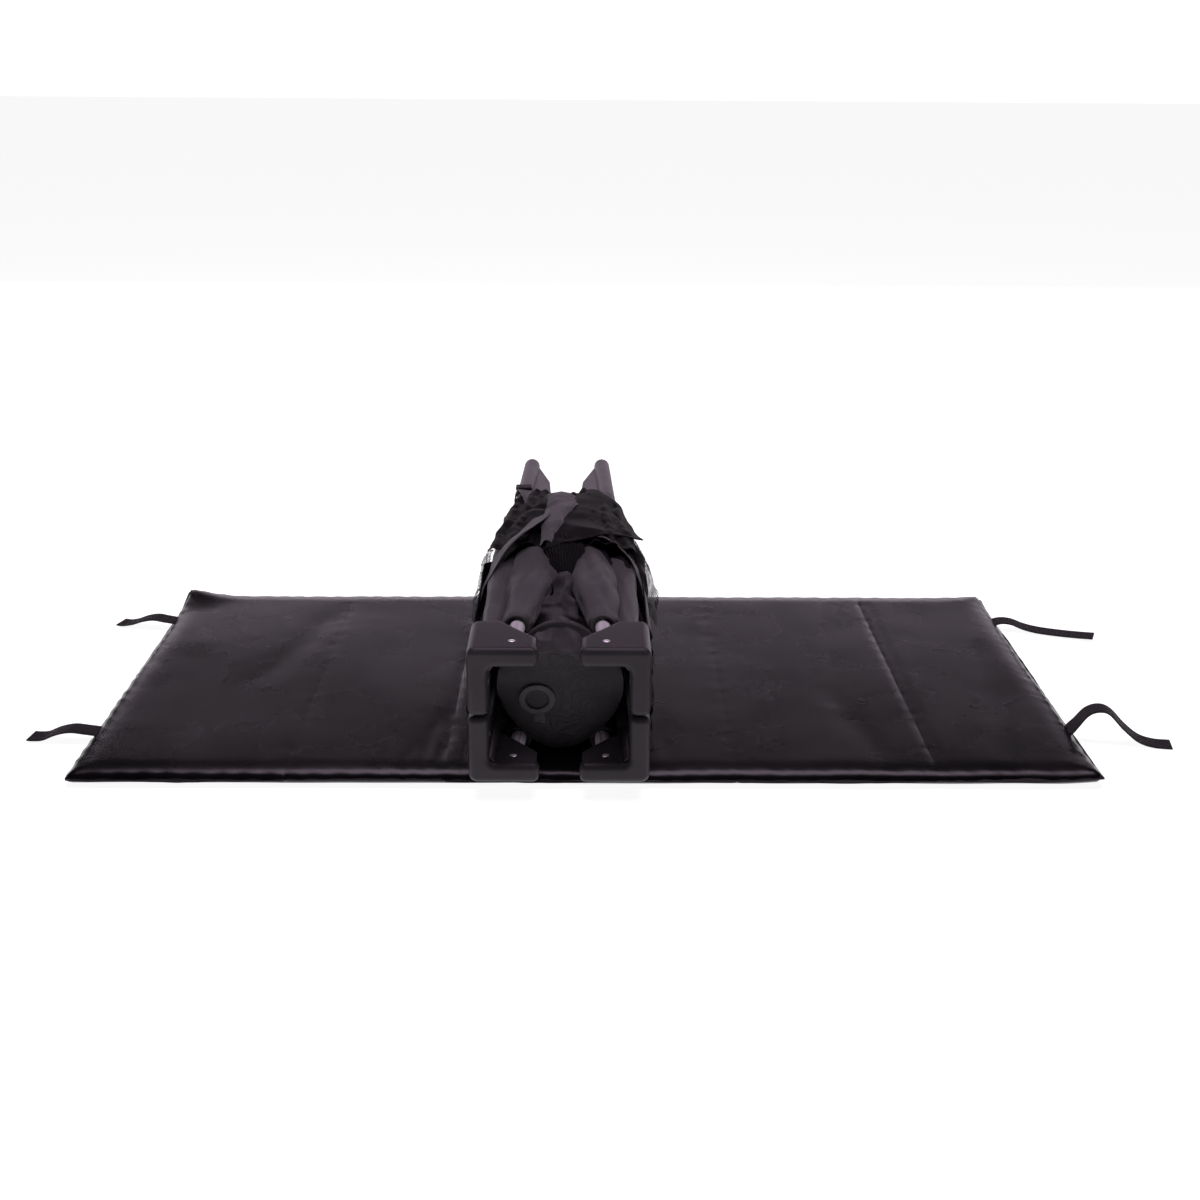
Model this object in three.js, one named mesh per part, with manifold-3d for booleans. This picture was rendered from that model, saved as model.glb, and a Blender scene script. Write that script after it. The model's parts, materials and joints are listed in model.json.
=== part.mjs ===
// A folding travel cot, folded into its square bundle and lying on its side across its own opened
// mattress. Millimetres, +Z up. The origin is the middle of the mattress's underside, on the floor:
// +X runs along the mattress, +Y runs from the cot's top corners to its feet, +Z is up.
import * as THREE from 'three';
import { mergeVertices } from 'three/addons/utils/BufferGeometryUtils.js';
import Module from 'manifold-3d';

const wasm = await Module();
wasm.setup();

// ---------------------------------------------------------------- driving dimensions
const CLEARANCE = 0.3;           // free gap between touching or sliding faces
const DEGREE = Math.PI / 180;

// Mattress: five padded panels, hinged along their top seams.
const MATTRESS_LENGTH = 1200;
const MATTRESS_WIDTH = 600;
const PAD_THICKNESS = 20;
const PAD_EDGE_RADIUS = 6;
const FOLD_FROM_LEFT = [250, 435, 775, 1010];   // fold seams, from the mattress's left end

// Hook-and-loop straps that tie the mattress round the bundle.
const STRAP_WIDTH = 28;
const STRAP_THICKNESS = 3;
const STRAP_ROOT_HEIGHT = 14;
const STRAP_STEPS = 14;
const STRAPS = [
  { name: 'strap_rear_left', side: -1, y: 200, reach: 87, crest: 30, hump: 14 },
  { name: 'strap_front_left', side: -1, y: -178, reach: 87, crest: 34, hump: 14 },
  { name: 'strap_rear_right', side: 1, y: 200, reach: 138, crest: 24, hump: 13 },
  { name: 'strap_front_right', side: 1, y: -176, reach: 124, crest: 36, hump: 43 },
];

// The folded bundle: its box of four top corners, seen from the top of the cot.
const BUNDLE_X = -31;            // middle of the bundle along the mattress
const BUNDLE_WIDTH = 206;
const BUNDLE_HEIGHT = 165;
const NEAR_FACE = -333;          // the flat top faces of the corner castings
const PIVOT_DEPTH = 28;          // rail pivots behind the top faces
const FEET_PAST_RAILS = 219;     // from the folded long rails' middle pivots to the feet's faces

// Corner castings: an L of two arms, with the leg's socket in the corner.
const ARM_WALL = 2.2;
const LONG_ARM = 80;             // arm that holds the long rail
const SHORT_ARM = 82;            // arm that holds the short rail
const ARM_END_DEPTH = 40;
const CORNER_DEPTH = 93;
const CORNER_RADIUS = 10;
const LEG_INSET = 20;            // leg axis from both outer faces
const SOCKET_WALL = 3.7;
const SOCKET_FLOOR = 8;
const CHANNEL_START = 39;        // where an arm's channel begins, from the outer corner
const PIVOT_FROM_CORNER = 50;

// Tubes.
const LEG_RADIUS = 10;
const LEG_WALL = 1.5;
const LEG_LENGTH_SHORT_OF_FEET = 17;
const RAIL_RADIUS = 9;
const RAIL_WALL = 1.5;
const LONG_RAIL = 558;           // pivot to pivot
const SHORT_RAIL = 265;
const FOLDED_TILT = 2.5 * DEGREE;
const ARM_RADIUS = 8;
const TUBE_SIDES = 16;
const LINK_END = 6;              // a rail's or floor arm's tube, past the centre of each pivot

// Pivots.
const PIN_RADIUS = 3;
const RIVET_HEAD_RADIUS = 4.5;
const RIVET_HEAD = 1;
const PIN_SIDES = 12;

// Rail latches, at the middle of each rail.
const LATCH_WALL = 2;
const LATCH_END = 12;            // past each pivot
const LATCH_LIP = 10;            // below each pivot
const BUTTON_WIDTH = 12;
const BUTTON_DEPTH = 10;
const BUTTON_STAND = 5;
const BUTTON_TRAVEL = 4;

// Feet.
const FOOT_WALL = 1.7;
const FOOT_LENGTH = 182;
const FOOT_LEG_DRAW = 47;        // how far the leg's end lies in from the bundle's sides
const FOOT_LEG_SINK = 12.5;
const WEB_THICKNESS = 8;
const WEB_REACH = 40;
const WEB_WAIST = 18;            // reach of the long web at its waist
const WEB_WAIST_FROM_FACE = 92;
const WEB_MARGIN = 2;
const WEB_CHAMFER = 10;
const TIP_CHAMFER = 6;
const CLEVIS_WALL = 2.7;
const CLEVIS_BACK = 4;
const CLEVIS_MARGIN = 2;
const CLEVIS_STEP = 4;           // how far the web starts ahead of the clevis
const FOOT_PIVOT_FROM_FACE = 60;

// Floor hub, with the arms that run to the feet.
const HUB_PIVOT_RADIUS = 40;
const HUB_RADIUS = 58;
const HUB_FRONT = 30;            // from the arm pivots to the hub's front face
const HUB_BACK = 20;
const HUB_COVER_RADIUS = 72;
const HUB_COVER_THICKNESS = 11.7;
const LOOP_WIDTH = 43;
const LOOP_HEIGHT = 37;
const LOOP_BAND = 8;
const LOOP_THICKNESS = 3.5;
const LOOP_STAND = 3;
const LOOP_X = -27;
const LOOP_Z = -14;

// Soft fabric: padded rail sleeves, and the walls gathered round the folded frame.
const SLEEVE_BESIDE = 8.4;       // padding beside the rail
const SLEEVE_OVER = 1.4;         // and over it
const SLEEVE_END = 45;
const WALL_FROM_PIVOT = 70;      // where the walls start, behind the rail pivots
const WALL_TOP_FROM_PIVOT = 245; // where they start to lie over the frame
const WALL_FULL_FROM_PIVOT = 188; // the walls are at their fullest between these two places
const WALL_FULL_TO_PIVOT = 365;
const WALL_FROM_FEET = 162;      // where they end, short of the feet's faces
const WALL_TAPER_LENGTH = 130;
const WALL_TAPER = 10;           // how far the walls draw in at the legs' narrow end
const WALL_THICKNESS = 13;
const WALL_GAP = 3.5;            // fabric clear of the frame's outer planes
const WALL_OVER_GAP = 0.5;
const WALL_LOWER_SINK = 2.5;     // lower walls' edge, above the bundle's lower plane
const WALL_SPLIT = 5;            // half the parting between neighbouring walls
const WALL_STEP = 1;

// ---------------------------------------------------------------- worked-out places
const BUNDLE_Z = PAD_THICKNESS + CLEARANCE + BUNDLE_HEIGHT / 2;
const HALF_WIDTH = BUNDLE_WIDTH / 2;
const HALF_HEIGHT = BUNDLE_HEIGHT / 2;
const PIVOT_Y = NEAR_FACE + PIVOT_DEPTH;
const PIN_HOLE = PIN_RADIUS + CLEARANCE;
const LEG_BORE = LEG_RADIUS + CLEARANCE;
const FOOT_RADIUS = LEG_BORE + FOOT_WALL;
const CHANNEL_HALF = RAIL_RADIUS + CLEARANCE;
const RAIL_OFFSET = CHANNEL_HALF + ARM_WALL;
const ARM_SECTION = 2 * RAIL_OFFSET;
const LONG_PIVOT = new THREE.Vector3(HALF_WIDTH - PIVOT_FROM_CORNER, PIVOT_Y, HALF_HEIGHT - RAIL_OFFSET);
const SHORT_PIVOT = new THREE.Vector3(HALF_WIDTH - RAIL_OFFSET, PIVOT_Y, HALF_HEIGHT - PIVOT_FROM_CORNER);
const LONG_MID_X = LONG_PIVOT.x - LONG_RAIL * Math.sin(FOLDED_TILT);
const LONG_MID_Y = PIVOT_Y + LONG_RAIL * Math.cos(FOLDED_TILT);
const SHORT_MID_Z = SHORT_PIVOT.z - SHORT_RAIL * Math.sin(FOLDED_TILT);
const SHORT_MID_Y = PIVOT_Y + SHORT_RAIL * Math.cos(FOLDED_TILT);
// A floor arm is as long as the two half rails' diagonal, so hub and frame fold together.
const FLOOR_ARM = Math.hypot(LONG_RAIL, SHORT_RAIL);
const DIAGONAL = Math.atan2(SHORT_RAIL, LONG_RAIL);
const FOOT_FACE = PIVOT_Y + LONG_RAIL + FEET_PAST_RAILS;
const FOOT_START = FOOT_FACE - FOOT_LENGTH;
const FOOT_PIVOT_Y = FOOT_FACE - FOOT_PIVOT_FROM_FACE;
const HUB_PIVOT_Y = FOOT_PIVOT_Y - FLOOR_ARM * Math.cos(FOLDED_TILT);
const FOOT_PIVOT_RADIUS = HUB_PIVOT_RADIUS + FLOOR_ARM * Math.sin(FOLDED_TILT);
const LEG_START_Y = NEAR_FACE + SOCKET_FLOOR + 2 * CLEARANCE;
const LEG_END_Y = FOOT_FACE - LEG_LENGTH_SHORT_OF_FEET;
const WALL_START = PIVOT_Y + WALL_FROM_PIVOT;
const WALL_END = FOOT_FACE - WALL_FROM_FEET;

// How far a cut must reach past a face to pass it cleanly.
const PAST = 1;
// Room that a tube's cut end sweeps round its pivot.
const sweep = (radius) => Math.hypot(radius, LINK_END) + CLEARANCE;
const RAIL_SWEEP = sweep(RAIL_RADIUS);
const ARM_SWEEP = sweep(ARM_RADIUS);

const HUB_FACE = HUB_PIVOT_Y - HUB_FRONT;
const COVER_BACK = HUB_FACE - CLEARANCE;
// The long rails' sleeves start behind the hub's cover; their cut ends lean with the rails.
const SLEEVE_BORE = RAIL_RADIUS + 2 * CLEARANCE;
const SLEEVE_LEAN = (SLEEVE_BORE + SLEEVE_BESIDE) * Math.tan(FOLDED_TILT);
const SLEEVE_START = (COVER_BACK - PIVOT_Y) / Math.cos(FOLDED_TILT) + SLEEVE_LEAN + CLEARANCE;

const QUADRANTS = [
  { name: 'lower_left', x: -1, z: -1 },
  { name: 'lower_right', x: 1, z: -1 },
  { name: 'upper_right', x: 1, z: 1 },
  { name: 'upper_left', x: -1, z: 1 },
];

// ---------------------------------------------------------------- finishes
const FINISHES = {
  casting: { color: 0x242326, roughness: 0.55, metalness: 0 },
  rivet: { color: 0xb9babd, roughness: 0.3, metalness: 0.9 },
  leg: { color: 0x3b393c, roughness: 0.45, metalness: 0.4 },
  rail: { color: 0xa5a3a6, roughness: 0.45, metalness: 0.2 },
  foot: { color: 0x5e585a, roughness: 0.6, metalness: 0 },
  latch: { color: 0x2c2b2e, roughness: 0.5, metalness: 0 },
  button: { color: 0x6f6c70, roughness: 0.5, metalness: 0 },
  hub: { color: 0x2a292c, roughness: 0.6, metalness: 0 },
  wall: { color: 0x3a373b, roughness: 0.9, metalness: 0 },
  mattress: { color: 0x2c2a2d, roughness: 0.5, metalness: 0 },
  webbing: { color: 0x2a2a2c, roughness: 0.85, metalness: 0 },
};

// ---------------------------------------------------------------- solids
function toSolid(geometry) {
  const bare = geometry.clone();
  bare.deleteAttribute('normal');
  bare.deleteAttribute('uv');
  const merged = mergeVertices(bare, 1e-4);
  const vertProperties = new Float32Array(merged.attributes.position.array);
  const triVerts = new Uint32Array(merged.index.array);
  return new wasm.Manifold(new wasm.Mesh({ numProp: 3, vertProperties, triVerts }));
}

function toGeometry(solid) {
  const mesh = solid.getMesh();
  const geometry = new THREE.BufferGeometry();
  geometry.setAttribute('position', new THREE.BufferAttribute(mesh.vertProperties, 3));
  geometry.setIndex(new THREE.BufferAttribute(mesh.triVerts, 1));
  geometry.computeVertexNormals();
  return geometry;
}

function join(first, ...others) {
  const whole = others.reduce((all, piece) => all.add(toSolid(piece)), toSolid(first));
  return toGeometry(whole);
}

function cut(body, ...tools) {
  const rest = tools.reduce((left, tool) => left.subtract(toSolid(tool)), toSolid(body));
  return toGeometry(rest);
}

function common(first, second) {
  return toGeometry(toSolid(first).intersect(toSolid(second)));
}

// A box between two opposite corners.
function block(low, high) {
  const size = low.map((value, axis) => high[axis] - value);
  const middle = low.map((value, axis) => (value + high[axis]) / 2);
  return new THREE.BoxGeometry(...size).translate(...middle);
}

// Turns a shape that stands along +Y on the origin so that it stands from one point to another.
function standAlong(geometry, from, to) {
  const way = new THREE.Vector3().subVectors(to, from).normalize();
  const turn = new THREE.Quaternion().setFromUnitVectors(new THREE.Vector3(0, 1, 0), way);
  return geometry.applyQuaternion(turn).translate(from.x, from.y, from.z);
}

function rod(radius, from, to, sides = PIN_SIDES) {
  const length = from.distanceTo(to);
  const upright = new THREE.CylinderGeometry(radius, radius, length, sides).translate(0, length / 2, 0);
  return standAlong(upright, from, to);
}

function tube(radius, wall, from, to) {
  const length = from.distanceTo(to);
  const section = [
    new THREE.Vector2(radius - wall, 0),
    new THREE.Vector2(radius, 0),
    new THREE.Vector2(radius, length),
    new THREE.Vector2(radius - wall, length),
    new THREE.Vector2(radius - wall, 0),
  ];
  return standAlong(new THREE.LatheGeometry(section, TUBE_SIDES), from, to);
}

const outline = (points) =>
  new THREE.Shape(points.map(([across, along]) => new THREE.Vector2(across, along)));
const plate = (shape, depth, segments = 6) =>
  new THREE.ExtrudeGeometry(shape, { depth, bevelEnabled: false, curveSegments: segments });

// Plates of an outline drawn in XY, in ZY and in XZ.
const plateAlongZ = (shape, low, high) => plate(shape, high - low).translate(0, 0, low);
const plateAlongX = (shape, low, high) =>
  plate(shape, high - low).rotateY(-Math.PI / 2).translate(high, 0, 0);
const plateAlongY = (shape, low, high) => plate(shape, high - low).rotateX(Math.PI / 2).translate(0, high, 0);

const part = new THREE.Group();

function addPiece(parent, name, geometry, finish) {
  const mesh = new THREE.Mesh(geometry, new THREE.MeshStandardMaterial(FINISHES[finish]));
  mesh.name = name;
  parent.add(mesh);
  return mesh;
}

// ---------------------------------------------------------------- mattress
function padGeometry(left, right) {
  const gap = CLEARANCE / 2;
  const width = right - left - 2 * gap;
  const radius = PAD_EDGE_RADIUS;
  const section = new THREE.Shape();
  section.moveTo(radius, 0);
  section.lineTo(width - radius, 0);
  section.absarc(width - radius, radius, radius, -Math.PI / 2, 0, false);
  section.lineTo(width, PAD_THICKNESS);
  section.lineTo(0, PAD_THICKNESS);
  section.lineTo(0, radius);
  section.absarc(radius, radius, radius, Math.PI, 1.5 * Math.PI, false);
  return plateAlongY(section, -MATTRESS_WIDTH / 2, MATTRESS_WIDTH / 2).translate(left + gap, 0, 0);
}

const PAD_NAMES = ['pad_left_outer', 'pad_left_inner', 'pad_centre', 'pad_right_inner', 'pad_right_outer'];
const seams = [0, ...FOLD_FROM_LEFT, MATTRESS_LENGTH].map((along) => along - MATTRESS_LENGTH / 2);
PAD_NAMES.forEach((name, index) => {
  addPiece(part, name, padGeometry(seams[index], seams[index + 1]), 'mattress');
});

// A strap's band in XZ: out of the end seam, over its hump and down to the floor.
function strapGeometry({ reach, crest, hump }) {
  const rest = STRAP_THICKNESS / 2 + CLEARANCE;
  const middle = new THREE.SplineCurve([
    new THREE.Vector2(CLEARANCE, STRAP_ROOT_HEIGHT - STRAP_THICKNESS),
    new THREE.Vector2(crest, hump),
    new THREE.Vector2(2 * crest, rest + STRAP_THICKNESS / 2),
    new THREE.Vector2(reach, rest),
  ]);
  const upper = [];
  const lower = [];
  for (let step = 0; step <= STRAP_STEPS; step += 1) {
    const place = middle.getPoint(step / STRAP_STEPS);
    const half = STRAP_THICKNESS / 2;
    upper.push([place.x, Math.max(place.y, rest) + half]);
    lower.unshift([place.x, Math.max(place.y, rest) - half]);
  }
  return plateAlongY(outline([...upper, ...lower]), -STRAP_WIDTH / 2, STRAP_WIDTH / 2);
}

for (const strap of STRAPS) {
  const root = new THREE.Group();
  root.position.set(strap.side * MATTRESS_LENGTH / 2, strap.y, 0);
  root.scale.x = strap.side;
  addPiece(root, strap.name, strapGeometry(strap), 'webbing');
  part.add(root);
}

// ---------------------------------------------------------------- pieces of one quadrant
// Each quadrant of the bundle is drawn with +X and +Z pointing outwards from the bundle's middle.
function onLeg(y) {
  const top = new THREE.Vector3(HALF_WIDTH - LEG_INSET, LEG_START_Y, HALF_HEIGHT - LEG_INSET);
  const end = new THREE.Vector3(HALF_WIDTH - FOOT_LEG_DRAW, LEG_END_Y, HALF_HEIGHT - FOOT_LEG_SINK);
  return top.lerp(end, (y - LEG_START_Y) / (LEG_END_Y - LEG_START_Y));
}

// One arm in its own plane: along the arm from the outer corner, and down from the near face.
function armOutline(half, length) {
  const shoulder = LEG_INSET + LEG_RADIUS + SOCKET_WALL;
  return outline([
    [half, NEAR_FACE],
    [half, NEAR_FACE + CORNER_DEPTH],
    [half - shoulder, NEAR_FACE + CORNER_DEPTH],
    [half - length, NEAR_FACE + ARM_END_DEPTH],
    [half - length, NEAR_FACE],
  ]);
}

function roundedCorner() {
  const shape = new THREE.Shape();
  shape.moveTo(-CORNER_RADIUS, -CORNER_RADIUS);
  shape.lineTo(HALF_WIDTH, -CORNER_RADIUS);
  const centreX = HALF_WIDTH - CORNER_RADIUS;
  const centreZ = HALF_HEIGHT - CORNER_RADIUS;
  shape.lineTo(HALF_WIDTH, centreZ);
  shape.absarc(centreX, centreZ, CORNER_RADIUS, 0, Math.PI / 2, false);
  shape.lineTo(-CORNER_RADIUS, HALF_HEIGHT);
  return plateAlongY(shape, NEAR_FACE, NEAR_FACE + CORNER_DEPTH);
}

// A rivet's hole and its two counterbores, through an arm along Z or X at a pivot.
function rivetCuts(pivot, axis) {
  const half = ARM_SECTION / 2;
  const reach = (radius, from, to) =>
    rod(radius, pivot.clone().addScaledVector(axis, from), pivot.clone().addScaledVector(axis, to));
  const head = RIVET_HEAD_RADIUS + CLEARANCE;
  const sunk = RIVET_HEAD + CLEARANCE;
  const past = half + PAST;
  return [reach(PIN_HOLE, -past, past), reach(head, -past, sunk - half), reach(head, half - sunk, past)];
}

const AXIS_X = new THREE.Vector3(1, 0, 0);
const AXIS_Z = new THREE.Vector3(0, 0, 1);

function castingGeometry() {
  const longArm = plateAlongZ(armOutline(HALF_WIDTH, LONG_ARM), HALF_HEIGHT - ARM_SECTION, HALF_HEIGHT);
  const shortArm = plateAlongX(armOutline(HALF_HEIGHT, SHORT_ARM), HALF_WIDTH - ARM_SECTION, HALF_WIDTH);
  const socketLow = new THREE.Vector3(HALF_WIDTH - LEG_INSET, NEAR_FACE, HALF_HEIGHT - LEG_INSET);
  const socketHigh = socketLow.clone().setY(NEAR_FACE + CORNER_DEPTH);
  const socket = rod(LEG_RADIUS + SOCKET_WALL, socketLow, socketHigh, TUBE_SIDES);
  const body = common(join(longArm, shortArm, socket), roundedCorner());
  const channelFront = PIVOT_Y - RAIL_SWEEP;
  const past = NEAR_FACE + CORNER_DEPTH + PAST;
  const longChannel = block(
    [HALF_WIDTH - LONG_ARM - PAST, channelFront, LONG_PIVOT.z - CHANNEL_HALF],
    [HALF_WIDTH - CHANNEL_START, past, LONG_PIVOT.z + CHANNEL_HALF],
  );
  const shortChannel = block(
    [SHORT_PIVOT.x - CHANNEL_HALF, channelFront, HALF_HEIGHT - SHORT_ARM - PAST],
    [SHORT_PIVOT.x + CHANNEL_HALF, past, HALF_HEIGHT - CHANNEL_START],
  );
  const bore = rod(LEG_BORE, onLeg(NEAR_FACE + SOCKET_FLOOR), onLeg(past + LEG_BORE), TUBE_SIDES);
  const holes = [...rivetCuts(LONG_PIVOT, AXIS_Z), ...rivetCuts(SHORT_PIVOT, AXIS_X)];
  return cut(body, longChannel, shortChannel, bore, ...holes);
}

function rivetGeometry() {
  const half = ARM_SECTION / 2;
  const section = [
    [0, -half],
    [RIVET_HEAD_RADIUS, -half],
    [RIVET_HEAD_RADIUS, RIVET_HEAD - half],
    [PIN_RADIUS, RIVET_HEAD - half],
    [PIN_RADIUS, half - RIVET_HEAD],
    [RIVET_HEAD_RADIUS, half - RIVET_HEAD],
    [RIVET_HEAD_RADIUS, half],
    [0, half],
  ];
  return new THREE.LatheGeometry(section.map(([r, along]) => new THREE.Vector2(r, along)), PIN_SIDES);
}

// A tube along +Y from one pivot to the next, with a cross hole at each, drilled along an axis.
function linkGeometry(radius, length, axis) {
  const start = new THREE.Vector3(0, -LINK_END, 0);
  const end = new THREE.Vector3(0, length + LINK_END, 0);
  const holes = [0, length].map((y) => {
    const middle = new THREE.Vector3(0, y, 0);
    const reach = axis.clone().multiplyScalar(radius + PAST);
    return rod(PIN_HOLE, middle.clone().sub(reach), middle.clone().add(reach));
  });
  return cut(tube(radius, RAIL_WALL, start, end), ...holes);
}

// The foot: a sleeve on the leg, a web along the long side, a web and a clevis for the floor arm.
function footGeometry() {
  const column = rod(FOOT_RADIUS, onLeg(FOOT_START), onLeg(FOOT_FACE + FOOT_WALL), TUBE_SIDES);
  const tipCut = block([0, FOOT_FACE, 0], [BUNDLE_WIDTH, FOOT_FACE + 2 * FOOT_RADIUS, BUNDLE_HEIGHT]);
  const start = onLeg(FOOT_START);
  const end = onLeg(FOOT_FACE);
  const webStart = FOOT_START + WEB_MARGIN;
  const webCorner = FOOT_FACE - WEB_CHAMFER;
  const innerEdge = end.x - FOOT_RADIUS;
  const longWeb = plateAlongZ(outline([
    [start.x, webStart],
    [start.x, FOOT_FACE - TIP_CHAMFER],
    [innerEdge, webCorner],
    [innerEdge - WEB_WAIST, FOOT_FACE - WEB_WAIST_FROM_FACE],
    [start.x - WEB_REACH, webStart + WEB_CHAMFER],
    [start.x - WEB_REACH + WEB_THICKNESS / 2, webStart],
  ]), end.z - WEB_THICKNESS, end.z);
  const pivot = footPivot();
  const eye = ARM_SWEEP;
  const shortWeb = plateAlongX(outline([
    [start.z, webStart],
    [pivot.z + ARM_RADIUS, FOOT_PIVOT_Y - eye - CLEVIS_STEP],
    [pivot.z + ARM_RADIUS, FOOT_PIVOT_Y + eye + CLEVIS_MARGIN],
    [end.z - FOOT_RADIUS, webCorner],
    [end.z, FOOT_FACE - TIP_CHAMFER],
  ]), end.x - WEB_THICKNESS / 2, end.x + WEB_THICKNESS / 2);
  const half = ARM_RADIUS + CLEARANCE;
  const clevis = block(
    [-eye - CLEVIS_MARGIN, -eye - CLEVIS_MARGIN, -half - CLEVIS_WALL],
    [eye + CLEVIS_BACK, eye + CLEVIS_BACK, half + CLEVIS_WALL],
  );
  const slot = block([-BUNDLE_WIDTH, -BUNDLE_WIDTH, -half], [eye, eye, half]);
  const boss = new THREE.Vector3(0, 0, half + CLEVIS_WALL / 2);
  const pin = rod(PIN_RADIUS, boss.clone().negate(), boss);
  for (const piece of [clevis, slot, pin]) {
    piece.rotateY(-DIAGONAL).translate(pivot.x, pivot.y, pivot.z);
  }
  const boreEnd = LEG_END_Y + 2 * CLEARANCE;
  const bore = rod(LEG_BORE, onLeg(FOOT_START - FOOT_RADIUS), onLeg(boreEnd), TUBE_SIDES);
  return join(cut(join(column, longWeb, shortWeb, clevis), tipCut, bore, slot), pin);
}

function footPivot() {
  return new THREE.Vector3(
    FOOT_PIVOT_RADIUS * Math.cos(DIAGONAL),
    FOOT_PIVOT_Y,
    FOOT_PIVOT_RADIUS * Math.sin(DIAGONAL),
  );
}

// A padded sleeve round a rail, open along the rail.
function sleeveGeometry() {
  const shape = new THREE.Shape();
  shape.absellipse(0, 0, SLEEVE_BORE + SLEEVE_BESIDE, SLEEVE_BORE + SLEEVE_OVER, 0, 2 * Math.PI, false);
  const bore = new THREE.Path();
  bore.absarc(0, 0, SLEEVE_BORE, 0, 2 * Math.PI, true);
  shape.holes.push(bore);
  return plateAlongY(shape, SLEEVE_START, LONG_RAIL - SLEEVE_END);
}

// The wall fabric gathered outside the frame: beside it, and over it on the upper quadrants.
function wallGeometry(isUpper) {
  const inner = HALF_WIDTH + WALL_GAP / 2;
  const outer = inner + WALL_THICKNESS;
  const behindLatch = SHORT_MID_Y + RAIL_SWEEP + LEG_INSET;
  const besideLeg = onLeg(WALL_END).x + FOOT_RADIUS + WALL_GAP;
  const taper = [
    [outer, PIVOT_Y + WALL_FULL_TO_PIVOT],
    [outer - WALL_TAPER, WALL_END - WALL_TAPER_LENGTH],
    [besideLeg + WALL_THICKNESS, WALL_END],
  ];
  const sideLine = [
    [outer - WALL_GAP, WALL_START],
    [outer, PIVOT_Y + WALL_FULL_FROM_PIVOT],
    ...taper,
    [besideLeg, WALL_END],
    [HALF_WIDTH - LEG_INSET + LEG_RADIUS, behindLatch + LEG_INSET],
    [inner, behindLatch],
    [inner, WALL_START],
  ];
  const top = HALF_HEIGHT + WALL_OVER_GAP;
  const sideTop = isUpper ? top + WALL_THICKNESS : HALF_HEIGHT - WALL_LOWER_SINK;
  const side = plateAlongZ(outline(sideLine), WALL_SPLIT, sideTop);
  if (!isUpper) {
    return side;
  }
  const overStart = PIVOT_Y + WALL_TOP_FROM_PIVOT;
  const overLine = [
    [outer - WALL_STEP, overStart],
    ...taper,
    [WALL_SPLIT, WALL_END],
    [WALL_SPLIT, overStart],
  ];
  return join(side, plateAlongZ(outline(overLine), top, top + WALL_THICKNESS));
}

for (const { name, x, z } of QUADRANTS) {
  const quadrant = new THREE.Group();
  quadrant.position.set(BUNDLE_X, 0, BUNDLE_Z);
  quadrant.scale.set(x, 1, z);
  part.add(quadrant);

  addPiece(quadrant, `corner_casting_${name}`, castingGeometry(), 'casting');
  const leg = tube(LEG_RADIUS, LEG_WALL, onLeg(LEG_START_Y), onLeg(LEG_END_Y));
  addPiece(quadrant, `leg_${name}`, leg, 'leg');
  addPiece(quadrant, `foot_${name}`, footGeometry(), 'foot');

  const longRivet = addPiece(quadrant, `long_rivet_${name}`, rivetGeometry(), 'rivet');
  longRivet.position.copy(LONG_PIVOT);
  longRivet.rotation.x = Math.PI / 2;
  const shortRivet = addPiece(quadrant, `short_rivet_${name}`, rivetGeometry(), 'rivet');
  shortRivet.position.copy(SHORT_PIVOT);
  shortRivet.rotation.z = Math.PI / 2;

  const longRail = new THREE.Group();
  longRail.position.copy(LONG_PIVOT);
  longRail.rotation.z = FOLDED_TILT;
  quadrant.add(longRail);
  addPiece(longRail, `long_rail_${name}`, linkGeometry(RAIL_RADIUS, LONG_RAIL, AXIS_Z), 'rail');
  addPiece(longRail, `long_sleeve_${name}`, sleeveGeometry(), 'wall');

  const shortRail = linkGeometry(RAIL_RADIUS, SHORT_RAIL, AXIS_X);
  const shortRailMesh = addPiece(quadrant, `short_rail_${name}`, shortRail, 'rail');
  shortRailMesh.position.copy(SHORT_PIVOT);
  shortRailMesh.rotation.x = -FOLDED_TILT;

  const diagonal = new THREE.Group();
  diagonal.rotation.y = -DIAGONAL;
  quadrant.add(diagonal);
  const floorArm = linkGeometry(ARM_RADIUS, FLOOR_ARM, AXIS_Z);
  const floorArmMesh = addPiece(diagonal, `floor_arm_${name}`, floorArm, 'leg');
  floorArmMesh.position.set(HUB_PIVOT_RADIUS, HUB_PIVOT_Y, 0);
  floorArmMesh.rotation.z = -FOLDED_TILT;

  addPiece(quadrant, `wall_bundle_${name}`, wallGeometry(z > 0), 'wall');
}

// ---------------------------------------------------------------- rail latches
// A channel over the ends of two half rails. It is drawn with its length along X, its mouth
// towards -Y and its pivots on Y = 0.
const LATCH_BACK = RAIL_SWEEP + LATCH_WALL;
const BUTTON_HOLE = 2 * (BUTTON_TRAVEL + CLEARANCE);

function latchGeometry(pivotX) {
  const eye = RAIL_SWEEP;
  const length = pivotX + LATCH_END;
  const half = ARM_SECTION / 2;
  const inside = half - LATCH_WALL;
  const shell = block([-length, -LATCH_LIP, -half], [length, eye + LATCH_WALL, half]);
  const stop = pivotX - eye;
  const room = (low, high) => block([low, -LATCH_LIP - PAST, -inside], [high, eye, inside]);
  const pins = [-pivotX, pivotX].map((x) =>
    rod(PIN_RADIUS, new THREE.Vector3(x, 0, -half + CLEARANCE), new THREE.Vector3(x, 0, half - CLEARANCE)));
  const hole = block(
    [-BUTTON_WIDTH / 2 - CLEARANCE, LATCH_BACK - BUTTON_HOLE, -BUTTON_DEPTH / 2 - CLEARANCE],
    [BUTTON_WIDTH / 2 + CLEARANCE, LATCH_BACK + PAST, BUTTON_DEPTH / 2 + CLEARANCE],
  );
  return join(cut(shell, room(-length - PAST, -stop), room(stop, length + PAST), hole), ...pins);
}

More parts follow.
